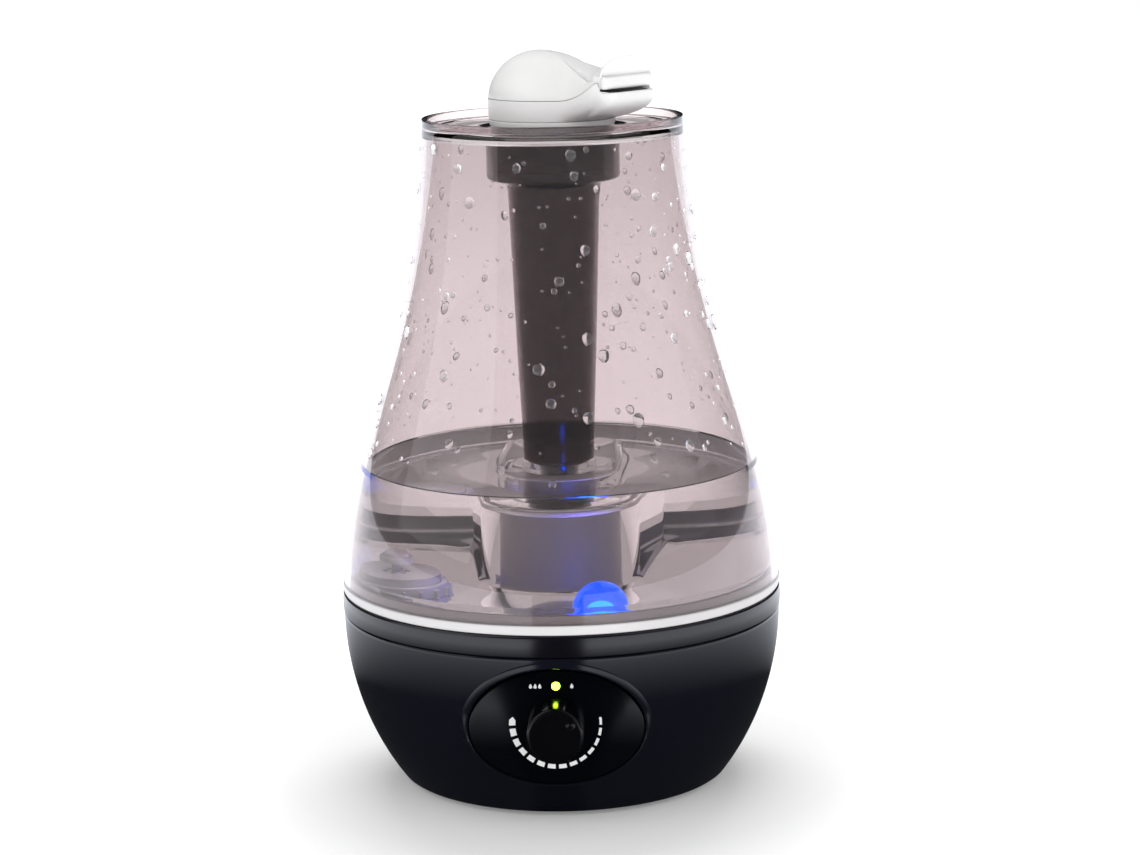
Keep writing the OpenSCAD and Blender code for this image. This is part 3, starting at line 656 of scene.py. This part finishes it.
def make_basin():
    """The black band above the bowl's seam, and the basin inside it, set back behind the panel."""
    r_in, r_out = BASIN_IN_R, BASIN_OUT_R
    band = [(r_out, 79), (92.8, 79), (92.8, SEAM + 0.2), (95.2, SEAM + 0.2), (95.55, 79.5), (95.3, 84.0),
            (94.4, BAND_TOP), (r_in + 0.6, BAND_TOP), (r_in, 83.8)]
    inside = [(r_in, BAY_TOP + 0.1), (r_in, BAY_TOP), (r_in, BASIN_FLOOR), (WELL_R, BASIN_FLOOR),
              (WELL_R, WELL_FLOOR), (10, WELL_FLOOR)]
    underside = [(10, 52), (26.5, 52), (26.5, BASIN_UNDER), (r_out, BASIN_UNDER), (r_out, BAY_ROOF),
                 (r_out, BAY_ROOF + 0.1)]
    corners = [0.3, 0.3, 0.3, 0.5, 3, 0.8, 0.6, 0.5, 0.5, 0, 0, 3, 1.5, 2, 0.4, 0.4, 0.5, 0.5, 1, 0, 0]
    verts, faces = lathe_data(rounded(band + inside + underside, corners, 4), 288)
    middle = (r_in + r_out) / 2
    halfway = (BASIN_FLOOR + BASIN_UNDER) / 2
    for i, (x, y, z) in enumerate(verts):
        outside = math.hypot(x, y) > middle or z < halfway
        if outside and z <= BAY_ROOF + 0.05:
            verts[i] = (x, max(y, BAY_OUT_Y), z)
        elif not outside and z <= BAY_TOP + 0.05:
            verts[i] = (x, max(y, BAY_IN_Y), z)
    parts = [(verts, faces)]
    chimney = rounded([(9, 62), (11.6, 62.5), (11, 66), (10.9, 100), (9, 100)], [0, 1, 2, 0.8, 0.8], 4)
    parts.append(lathe_data(chimney, 64, (0, CHIMNEY_Y)))
    cap_x, cap_y, _ = node_centre("filler_cap")
    pin = [(0, 69.9), (1.4, 69.8), (2, 69.2), (2, 65.5), (3, 64.6), (3, 64), (0, 64)]
    parts.append(lathe_data(pin, 32, (cap_x, cap_y)))
    float_x, float_y, _ = node_centre("float_ring")
    post = [(0, 82), (2.4, 81.8), (3, 81.2), (3, 65), (4, 64.4), (4, 64), (0, 64)]
    parts.append(lathe_data(post, 32, (float_x, float_y)))
    verts, faces = joined(*parts)
    obj = add_mesh("basin_shell", verts, faces, BAND, angle=40)
    put(obj, "base", "basin_black", "basin")


def make_panel():
    """The oval panel with its softened edge."""
    face = -PANEL_FACE
    loops = []
    for grow, y in ((-0.15, face + 2.4), (-0.15, face + 0.5), (-0.35, face + 0.12), (-0.8, face)):
        points = [oval_point(FULL * k / 120, grow) for k in range(120)]
        loops.append([(x, y, z) for x, z in points])
    verts, faces = loops_data(loops, ring=False)
    plate = add_mesh("panel_plate", verts, faces, PANEL, angle=50)
    put(plate, "base", "panel_black", "control_panel")


def printed(points, raised, sunk):
    """A flat mark on the panel: its outline as (x, z) points, given the thickness of a layer of ink."""
    n = len(points)
    verts = [(x, raised, z) for x, z in points] + [(x, sunk, z) for x, z in points]
    faces = [tuple(range(n)), tuple(range(n, 2 * n))[::-1]]
    faces += [(k, (k + 1) % n, n + (k + 1) % n, n + k) for k in range(n)]
    return verts, faces


def make_marks():
    """The dial, whose dashes widen towards the left, and an icon of drops on each side of the light."""
    face = -PANEL_FACE
    raised, sunk = face - 0.06, face + 0.05
    knob_z = (KNOB_LOW[2] + KNOB_HIGH[2]) / 2
    dial_r = 18.3
    parts = []
    dashes = 14
    for i in range(dashes):
        t = i / (dashes - 1)
        a = math.radians(176.5 + 187 * t)
        wide = 2.6 - 1.6 * t
        half = math.radians(5.0)
        r0, r1 = dial_r - wide / 2, dial_r + wide / 2
        ring_points = [(r0, a - half), (r1, a - half), (r1, a), (r1, a + half), (r0, a + half), (r0, a)]
        if i == 0:
            ring_points = [(r0, a - half * 0.4), (dial_r, a - half * 1.3), (r1, a - half * 0.4),
                           (r1, a + half), (r0, a + half)]
        dash = [(r * math.cos(b), knob_z + r * math.sin(b)) for r, b in ring_points]
        parts.append(printed(dash, raised, sunk))
    led_x, _, led_z = node_centre("led_lens")
    for side, lobes in ((-1, 3), (1, 1)):
        for k in range(lobes):
            cx = led_x + side * (6.6 + 1.9 * k)
            drop = []
            for m in range(16):
                b = FULL * m / 16
                tall = 1.25 if math.sin(b) > 0 else 0.75
                narrow = 1 - 0.55 * max(0.0, math.sin(b))
                drop.append((cx + 0.7 * math.cos(b) * narrow, led_z - 0.2 + tall * math.sin(b)))
            parts.append(printed(drop, raised, sunk))
    verts, faces = joined(*parts)
    marks = add_mesh("dial_marks", verts, faces, MARKS, smooth=False)
    put(marks, "base", "panel_black")


def make_led():
    """The light's round lens with its collar behind the panel."""
    led_x, _, led_z = node_centre("led_lens")
    lens = [(0, -84.6), (0.9, -84.5), (1.5, -84.3), (1.8, -83.9), (1.8, -80.6), (2.6, -80.5), (2.6, -79.3),
            (0, -79.2)]
    verts, faces = lathe_data([(r, -y) for r, y in lens], 40)
    verts = [(led_x + x, -z, led_z + y) for x, y, z in verts]
    light = add_mesh("led_glow", verts, faces, LED)
    put(light, "base", "led_green", "led_lens")


def make_knob():
    """The knob: a short drum with a rounded edge, a faintly dished face and a finger dimple."""
    x0, _, z0 = node_centre("knob")
    r = (KNOB_HIGH[0] - KNOB_LOW[0]) / 2
    front, back = -KNOB_LOW[1], -KNOB_HIGH[1]
    profile = rounded([(r - 1.6, back), (r, back), (r, front), (0, front)], [0, 0.6, 1.3, 0], 6, closed=False)
    profile = profile[:-1]
    dish = 0.22
    for i in range(12):
        share = 1 - i / 12
        profile.append(((r - 1.3) * share, front - dish * (1 - share ** 2)))
    profile += [(0, front - dish), (0, front - 3), (r - 2, front - 3), (r - 1.9, back + 0.3)]
    verts, faces = lathe_data(profile, 96)
    dimple_turn = math.radians(39)
    dimple_r, dimple_deep = 1.9, 0.55
    cx, cy = 0.7 * r * math.cos(dimple_turn), 0.7 * r * math.sin(dimple_turn)
    out = []
    for x, y, z in verts:
        if z > front - 1.0:
            d = math.hypot(x - cx, y - cy)
            z -= dimple_deep * smoothstep(dimple_r, 0.6, d) if d < dimple_r else 0
        out.append((x0 + x, -z, z0 + y))
    obj = add_mesh("knob_drum", out, faces, KNOB, angle=50)
    put(obj, "knob", "knob_black", "knob")


# -------- nozzle --------

SPOUT = math.radians(-40)
NOZZLE_R = 27.2
LIP_S = 46.5
HOOD_S = 42.0
SPOUT_W = 17.2
TRAY_Z = 287.2           # underside of the turning tray
PAN_Z = 289.0            # its floor
SEAM_Z = 296.0
HOOD_Z = 306.4
HOOD_TOP = 314.6
NOZZLE_AROUND = 360      # points in each loop of the nozzle's pieces


def from_spout(s, w, z):
    """A point given along the spout, across it and up, in the row frame."""
    return (s * math.cos(SPOUT) - w * math.sin(SPOUT), s * math.sin(SPOUT) + w * math.cos(SPOUT), z)


def nozzle_outline(a, inset=0.0):
    """The nozzle's plan as a distance from the axis: a circle that runs out into the spout's blunt end."""
    c, w = math.cos(a), abs(math.sin(a))
    r = NOZZLE_R - inset
    if c <= 0:
        return r
    spout = 1 / ((c / (LIP_S - inset)) ** 7 + (w / (SPOUT_W - inset)) ** 7) ** (1 / 7)
    return (r ** 14 + spout ** 14) ** (1 / 14)


def wall_top(a):
    """Height of the seam: level round the pan, rising along the spout's sides, low again at the lip."""
    s = nozzle_outline(a) * math.cos(a)
    side = SEAM_Z + 10.6 * min(1.0, max(0.0, (s - 20) / 22)) ** 1.9
    turn = abs(math.degrees(math.atan2(math.sin(a), math.cos(a))))
    return 300 + (side - 300) * smoothstep(20.6, 22.6, turn) if turn < 40 else side


def hermite(points, x):
    """A smooth curve through (x, y) points."""
    n = len(points)
    if x <= points[0][0]:
        return points[0][1]
    if x >= points[-1][0]:
        return points[-1][1]
    k = max(i for i in range(n - 1) if points[i][0] <= x)

    def slope(i):
        a, b = points[max(0, i - 1)], points[min(n - 1, i + 1)]
        return (b[1] - a[1]) / (b[0] - a[0])

    (x0, y0), (x1, y1) = points[k], points[k + 1]
    h = x1 - x0
    t = (x - x0) / h
    return ((2 * t ** 3 - 3 * t * t + 1) * y0 + (t ** 3 - 2 * t * t + t) * h * slope(k)
            + (3 * t * t - 2 * t ** 3) * y1 + (t ** 3 - t * t) * h * slope(k + 1))


# the cover's highest line: distance along the spout and height
CROWN = [(-27, 318.2), (-18, 318), (-12, 317.3), (-7, 316.2), (-3, 315.3), (0.8, 314.5), (10, 311.9),
         (17.7, 309.4), (23, 307.3), (28, 305.6), (33, 303.9), (38, 306.5), (42, 312)]


def make_nozzle_base():
    """The fixed collar piece under the nozzle: its flange on the deck and the plug in the tube's collar."""
    flange = rounded([(20, DECK_Z + 0.05), (26.6, DECK_Z + 0.05), (27.1, 287), (20, 287)],
                     [0.2, 0.5, 0.7, 0.3], 4)
    plug = rounded([(23.4, 266), (25.4, 266), (25.4, 284.4), (23.4, 284.4)], [0.4, 0.6, 0, 0], 3)
    rise = rounded([(20, 286.8), (22, 286.8), (22, 290.4), (20, 290.4)], [0, 0, 0.4, 0.4], 3)
    verts, faces = joined(lathe_data(flange, 128), lathe_data(plug, 96), lathe_data(rise, 96))
    obj = add_mesh("nozzle_collar", verts, faces, NOZZLE)
    put(obj, "nozzle_base", "nozzle_white", "nozzle_base")


def spout_loop(point):
    """A loop round the nozzle's axis. point gives distance and height at each angle from the spout."""
    loop = []
    for k in range(NOZZLE_AROUND):
        a = FULL * k / NOZZLE_AROUND
        r, z = point(a)
        loop.append(from_spout(r * math.cos(a), r * math.sin(a), z))
    return loop


def make_nozzle_body():
    """The turning tray: a round pan whose side flows out into the spout."""
    steps = 18
    swell = 3.2          # how soon the side reaches its full width on the way up
    wall = 1.8

    def side(share, foot_r, inset, foot_z, drop):
        def point(a):
            r = foot_r + (nozzle_outline(a, inset) - foot_r) * (1 - (1 - share) ** swell)
            return r, foot_z + (wall_top(a) - drop - foot_z) * share
        return spout_loop(point)

    def rim(inset, drop):
        return spout_loop(lambda a: (nozzle_outline(a, inset), wall_top(a) - drop))

    rows = [side(i / steps, 26.9, 0.0, TRAY_Z, 0.35) for i in range(steps + 1)]
    rows += [rim(inset, drop) for inset, drop in ((0.15, 0.19), (0.5, 0.238), (1.3, 0.338), (1.65, 0.27),
                                                  (wall, 0.13))]
    rows += [side(i / steps, 25.1, wall, PAN_Z, 1) for i in range(steps, 0, -2)]
    rows += [spout_loop(lambda a: (r, z)) for r, z in ((24, PAN_Z), (22.5, PAN_Z), (22.4, TRAY_Z + 0.1),
                                                       (22.5, TRAY_Z), (26.4, TRAY_Z))]
    verts, faces = loops_data(rows)
    obj = add_mesh("nozzle_tray", verts, faces, NOZZLE, angle=45)
    put(obj, "nozzle_head", "nozzle_white", "nozzle_body")


def hood_arch(w):
    """Height of the hood's half round end at w across the spout."""
    return HOOD_Z + (HOOD_TOP - HOOD_Z) * math.sqrt(max(0.0, 1 - (w / 16.4) ** 2))


def cover_edge(a):
    """The cover's edge: distance from the axis and height. At the front it follows the hood's arch."""
    r = nozzle_outline(a, 0.2)
    c = math.cos(a)
    if c > 0 and r * c > HOOD_S:
        r = HOOD_S / c
        return r, max(hood_arch(r * math.sin(a)), wall_top(a) + 0.05)
    return r, wall_top(a) + 0.05


def cover_height(s, w):
    """Height of the cover's outside at s along the spout and w across it."""
    a = math.atan2(w, s)
    edge, z_edge = cover_edge(a)
    k = min(1.0, math.hypot(s, w) / edge)
    return z_edge + (hermite(CROWN, s) - z_edge) * (1 - k * k) ** 0.55


def make_nozzle_cover():
    """The cover: a dome behind, a waist, then the half round hood with its dished face over the mouth."""
    shares = [1, 0.9985, 0.995, 0.989, 0.98, 0.968, 0.953, 0.935, 0.91, 0.88, 0.84, 0.8, 0.75, 0.7, 0.64,
              0.58, 0.52, 0.46, 0.4, 0.33, 0.26, 0.19, 0.12, 0.06, 0.02]

    def outside(share):
        def point(a):
            r = cover_edge(a)[0] * share
            return r, cover_height(r * math.cos(a), r * math.sin(a))
        return spout_loop(point)

    def inside(share):
        def point(a):
            r, z_edge = cover_edge(a)
            r *= share
            return r, max(cover_height(r * math.cos(a), r * math.sin(a)) - 2.0, min(z_edge, HOOD_Z))
        return spout_loop(point)

    def underside(a):
        r, z_edge = cover_edge(a)
        return r * 0.985, min(z_edge, HOOD_Z)

    rows = [outside(share) for share in shares]
    rows += [inside(share) for share in (0.03, 0.2, 0.4, 0.6, 0.8, 0.93, 0.955)] + [spout_loop(underside)]
    verts, faces = loops_data(rows)

    arc = [-16.3 + 32.6 * k / 40 for k in range(41)]
    outline = [(w, hood_arch(w)) for w in arc] + [(w, HOOD_Z - 0.3) for w in arc[::-1]]
    mid_z = (HOOD_Z + HOOD_TOP) / 2 - 1.2
    face_rows = []
    for share, s in ((1.0, HOOD_S - 0.25), (0.985, HOOD_S + 0.02), (0.965, HOOD_S + 0.1), (0.94, HOOD_S),
                     (0.925, HOOD_S - 0.35), (0.85, HOOD_S - 1.1), (0.7, HOOD_S - 2.0), (0.5, HOOD_S - 2.7),
                     (0.3, HOOD_S - 3.1), (0.1, HOOD_S - 3.3), (0.02, HOOD_S - 3.3)):
        face_rows.append([from_spout(s, w * share, mid_z + (z - mid_z) * share) for w, z in outline])
    v, f = loops_data(face_rows, ring=False)
    f = f[:-2] + f[-1:]
    verts, faces = joined((verts, faces), (v, f))
    obj = add_mesh("nozzle_hood", verts, faces, NOZZLE, angle=50)
    put(obj, "nozzle_head", "nozzle_white", "nozzle_cover")


def make_baffle():
    """The rounded bar across the mouth, under the hood. It thins a little at each end."""
    root, ceiling = HOOD_S - 5, HOOD_Z + 0.1
    bar = rounded([(root, 301.2), (HOOD_S + 1.6, 301.0), (HOOD_S + 1.5, ceiling), (root, ceiling)],
                  [0.4, 2.2, 1.2, 0.2], 6)
    rows = []
    ends = 7
    half = 15.2
    for i in range(2 * ends + 2):
        side, step = (-1, i) if i <= ends else (1, 2 * ends + 1 - i)
        t = math.pi / 2 * step / ends
        w = side * (half - 2.0 * (1 - math.cos(t)))
        grow = 1 - 0.16 * (1 - math.sin(t))
        rows.append([from_spout(root + (s - root) * grow, w, ceiling + (z - ceiling) * grow) for s, z in bar])
    v, f = loops_data(rows, ring=False)
    baffle = add_mesh("nozzle_baffle", v, f, NOZZLE, angle=60)
    put(baffle, "nozzle_head", "nozzle_white")


# -------- parts that stay as the CAD has them --------

STEEL = metal("steel_drawn", (0.55, 0.55, 0.56), 0.3, (1, 1, 8))
ZINC = metal("zinc_plated", (0.6, 0.61, 0.63), 0.35)
ALU = metal("aluminium_brushed", (0.72, 0.72, 0.74), 0.38, (8, 1, 1))
BOARD = plastic("board_green", (0.02, 0.12, 0.05), 0.4, 0.05, grain=0.1, grain_scale=300, tint=0.2)
PARTS = plastic("component_black", (0.02, 0.02, 0.022), 0.45, 0.06, grain=0.1)
CERAMIC = plastic("disc_nickel", (0.62, 0.6, 0.56), 0.25, 0.04, tint=0.1)
GREY_RUBBER = plastic("rubber_grey", (0.25, 0.25, 0.26), 0.7, 0.05, grain=0.2)
MAGNET = plastic("magnet_nickel", (0.4, 0.4, 0.42), 0.3, 0.05)
FAN = plastic("fan_grey", (0.16, 0.16, 0.17), 0.42, 0.04, grain=0.1)
WINDOW = clear_plastic("window_clear", (0.92, 0.95, 0.97), ior=1.5)
RED_WIRE = plastic("wire_red", (0.45, 0.03, 0.02), 0.45)
BLUE_WIRE = plastic("wire_blue", (0.03, 0.05, 0.4), 0.45)

KEPT = [
    (PLATE, ["bottom_plate"], 0.5), (DARK_RUBBER, ["feet"], 0.8),
    (ZINC, ["bottom_screws", "basin_screws", "transducer_screws", "blower_screws"], 0.15),
    (GREY_RUBBER, ["basin_seal"], 0.2), (BOARD, ["led_board", "main_board", "light_board"], 0.1),
    (STEEL, ["potentiometer", "pot_nut", "transducer_retainer", "fan_motor", "fan_shaft", "valve_spring"],
     0.15),
    (ALU, ["knob_shaft", "heat_sink"], 0.15), (PARTS, ["board_parts", "power_jack"], 0.2),
    (CERAMIC, ["transducer_disc"], 0.2),
    (SILICONE, ["transducer_gasket", "tube_seal", "dome_seal", "cap_gasket", "valve_seal", "nozzle_seal"],
     0.2),
    (BAND, ["blower_housing", "air_duct"], 0.3), (FAN, ["fan_impeller"], 0.1),
    (WHITE, ["float_ring", "float_clip", "filler_cap", "valve_plunger"], 0.3),
    (MAGNET, ["float_magnet"], 0.1),
    (WINDOW, ["reed_switch", "light_window", "light_led"], 0.1), (RED_WIRE, ["fan_wires", "jack_wires"], 0),
    (BLUE_WIRE, ["transducer_wires"], 0),
]


def paint_kept():
    """Materials and softened edges for the CAD nodes that are shown as they are."""
    for mat, names, edge in KEPT:
        for name in names:
            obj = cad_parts[name]
            obj.data.materials.clear()
            obj.data.materials.append(mat)
            if edge:
                bevel(obj, edge * 0.5, 2, 50)


# -------- camera, light and floor --------

def make_camera():
    """The view from 1.26 m in front, a little above and rolled by a degree."""
    data = bpy.data.cameras.new("camera")
    data.lens = 93.42
    data.sensor_width = 36
    cam = bpy.data.objects.new("camera", data)
    bpy.context.scene.collection.objects.link(cam)
    bpy.context.scene.camera = cam
    pitch, roll, yaw, turn = 0.1903, -0.0192, 0.0040, math.radians(2.2)
    forward = Vector((math.sin(yaw) * math.cos(pitch), math.cos(yaw) * math.cos(pitch), -math.sin(pitch)))
    right = Vector((math.cos(yaw), -math.sin(yaw), 0))
    up = right.cross(forward)
    right, up = (math.cos(roll) * right + math.sin(roll) * up, -math.sin(roll) * right + math.cos(roll) * up)
    rig = Matrix.Rotation(turn, 3, "Z")
    basis = Matrix((rig @ right, rig @ up, -(rig @ forward))).transposed()
    cam.matrix_world = Matrix.Translation(rig @ Vector((0, -1.2590, 0.3952))) @ basis.to_4x4()
    data.clip_end = 50


def area_light(name, place, aim, size, power):
    """A rectangular light that the camera doesn't see, either directly or through something clear."""
    data = bpy.data.lights.new(name, "AREA")
    data.shape = "RECTANGLE"
    data.size, data.size_y = size
    data.energy = power
    lamp = bpy.data.objects.new(name, data)
    lamp.location = place
    lamp.rotation_euler = (Vector(aim) - Vector(place)).to_track_quat("-Z", "Y").to_euler()
    lamp.visible_camera = False
    lamp.visible_transmission = False
    bpy.context.scene.collection.objects.link(lamp)
    return lamp


def mirrored_only(nodes, links):
    """1 for rays that come from a reflection, 0 for those that passed through something clear."""
    path = nodes.new("ShaderNodeLightPath")
    straight = nodes.new("ShaderNodeMath")
    straight.operation = "SUBTRACT"
    straight.inputs[0].default_value = 1
    links.new(path.outputs["Is Transmission Ray"], straight.inputs[1])
    both = nodes.new("ShaderNodeMath")
    both.operation = "MULTIPLY"
    links.new(path.outputs["Is Glossy Ray"], both.inputs[0])
    links.new(straight.outputs[0], both.inputs[1])
    return path, both.outputs[0]


def make_world():
    """White to the camera, softer as a light, and almost black to reflections."""
    world = bpy.data.worlds.new("studio")
    bpy.context.scene.world = world
    world.use_nodes = True
    nodes, links = world.node_tree.nodes, world.node_tree.links
    nodes.clear()
    path, mirrored = mirrored_only(nodes, links)
    levels = {"seen": (1, 1, 1, 1), "lit": (0.62, 0.62, 0.62, 1), "mirrored": (0.02, 0.02, 0.026, 1)}
    shade = {}
    for name, colour in levels.items():
        shade[name] = nodes.new("ShaderNodeBackground")
        shade[name].inputs["Color"].default_value = colour
    diffuse = nodes.new("ShaderNodeMixShader")
    glossy = nodes.new("ShaderNodeMixShader")
    out = nodes.new("ShaderNodeOutputWorld")
    links.new(path.outputs["Is Diffuse Ray"], diffuse.inputs["Fac"])
    links.new(shade["seen"].outputs["Background"], diffuse.inputs[1])
    links.new(shade["lit"].outputs["Background"], diffuse.inputs[2])
    links.new(mirrored, glossy.inputs["Fac"])
    links.new(diffuse.outputs["Shader"], glossy.inputs[1])
    links.new(shade["mirrored"].outputs["Background"], glossy.inputs[2])
    links.new(glossy.outputs["Shader"], out.inputs["Surface"])
    bpy.context.scene.view_settings.view_transform = "Standard"
    bpy.context.scene.view_settings.look = "None"


def ranged(nodes, links, value, start, end, low, high):
    """Carries value over from the span start to end to the span low to high."""
    step = nodes.new("ShaderNodeMapRange")
    for name, number in (("From Min", start), ("From Max", end), ("To Min", low), ("To Max", high)):
        step.inputs[name].default_value = number
    links.new(value, step.inputs["Value"])
    return step.outputs["Result"]


def make_floor():
    """A pale floor with a painted shadow: its glow is lower near the part. Reflections see a painted
    reflection of it, dark near the part and in a wedge that opens towards the camera.
    """
    mat, nodes, links, shader = material("floor_white_painted_shadow")
    tex = noise_node(nodes, links, 3)
    ramp = ramp_node(nodes, links, tex.outputs["Fac"], (0.8, 0.8, 0.805), (0.82, 0.82, 0.825))
    links.new(ramp.outputs["Color"], shader.inputs["Base Color"])
    shader.inputs["Roughness"].default_value = 0.6
    shader.inputs["Specular IOR Level"].default_value = 0.1
    shader.inputs["Emission Color"].default_value = (1, 1, 1, 1)
    source = nodes.new("ShaderNodeTexCoord")
    split = nodes.new("ShaderNodeSeparateXYZ")
    links.new(source.outputs["Object"], split.inputs[0])

    def math_node(operation, a, b):
        step = nodes.new("ShaderNodeMath")
        step.operation = operation
        for slot, value in ((0, a), (1, b)):
            if isinstance(value, (int, float)):
                step.inputs[slot].default_value = value
            elif value is not None:
                links.new(value, step.inputs[slot])
        return step.outputs[0]

    forward = math_node("MULTIPLY", split.outputs["Y"], -1)
    ahead = math_node("MAXIMUM", math_node("SUBTRACT", forward, 0.09), 0)
    sideways = math_node("ABSOLUTE", split.outputs["X"], None)
    gap = math_node("SUBTRACT", sideways, math_node("MULTIPLY", ahead, 0.23))
    away = nodes.new("ShaderNodeVectorMath")
    away.operation = "LENGTH"
    links.new(source.outputs["Object"], away.inputs[0])
    # Painted reflection: what reflections see of the floor is a pale glow, cut away inside a wedge that opens
    # towards the camera and dimmed near the part.
    edge = ranged(nodes, links, gap, 0.009, 0.014, 0.0, 1.0)
    near = ranged(nodes, links, away.outputs["Value"], 0.17, 0.40, 0.03, 1.7)
    # Painted shadow: the floor's own glow is lower near the part, a soft shadow round its foot; far off it
    # glows to white.
    far = ranged(nodes, links, away.outputs["Value"], 0.12, 0.42, 0.17, 0.85)
    links.new(far, shader.inputs["Emission Strength"])
    dark = nodes.new("ShaderNodeEmission")
    dark.inputs["Color"].default_value = (0.9, 0.92, 1, 1)
    links.new(math_node("MULTIPLY", edge, near), dark.inputs["Strength"])
    both = nodes.new("ShaderNodeMixShader")
    links.new(mirrored_only(nodes, links)[1], both.inputs["Fac"])
    links.new(shader.outputs["BSDF"], both.inputs[1])
    links.new(dark.outputs["Emission"], both.inputs[2])
    links.new(both.outputs["Shader"], nodes["Material Output"].inputs["Surface"])
    reach = 6000
    verts = [(-reach, -reach, 0), (reach, -reach, 0), (reach, reach, 0), (-reach, reach, 0)]
    floor = add_mesh("floor", verts, [(0, 1, 2, 3)], mat, smooth=False)


def make_lights():
    """Two fills that reflections don't see, two cards that only reflections see, and a panel behind."""
    for name, side, power in (("left", -1, 10), ("right", 1, 4)):
        fill = area_light("fill_" + name, (side * 1.1, -1.3, 0.7), (0, 0, 0.15), (1.5, 2.0), 11)
        fill.visible_glossy = False
        card = area_light("softbox_" + name, (side * 1.22, -0.44, 1.15), (0, 0, 0.25), (1.7, 2.2), power)
        card.visible_diffuse = False
    top = area_light("top_panel", (0, 1.1, 1.7), (0, 0, 0), (1.6, 1.0), 26)
    top.visible_glossy = False


def make_inner_lights():
    """Light in the water: what comes in through the tinted wall, and the dome's blue on the chamber."""
    spots = [(60 * math.cos(a), 60 * math.sin(a), 122, (1, 0.96, 0.97), 0.03)
             for a in (math.radians(45 + 90 * i) for i in range(4))]
    spots.append((12, -37, 108, (0.12, 0.1, 1), 0.06))
    for i, (x, y, z, colour, power) in enumerate(spots):
        data = bpy.data.lights.new("inner_%d" % i, "POINT")
        data.color = colour
        data.energy = power
        data.shadow_soft_size = 0.008
        lamp = bpy.data.objects.new("inner_%d" % i, data)
        lamp.location = Vector((x, y, z)) * MM
        lamp.visible_camera = lamp.visible_glossy = lamp.visible_transmission = False
        bpy.context.scene.collection.objects.link(lamp)
        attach(lamp, "tank")


make_tank_shell()
make_mist_tube()
make_tank_bottom()
make_dome()
make_water()
make_drops()
make_bowl()
make_panel_frame()
make_basin()
make_panel()
make_marks()
make_led()
make_knob()
make_nozzle_base()
make_nozzle_body()
make_nozzle_cover()
make_baffle()
paint_kept()
make_camera()
make_world()
make_floor()
make_lights()
make_inner_lights()
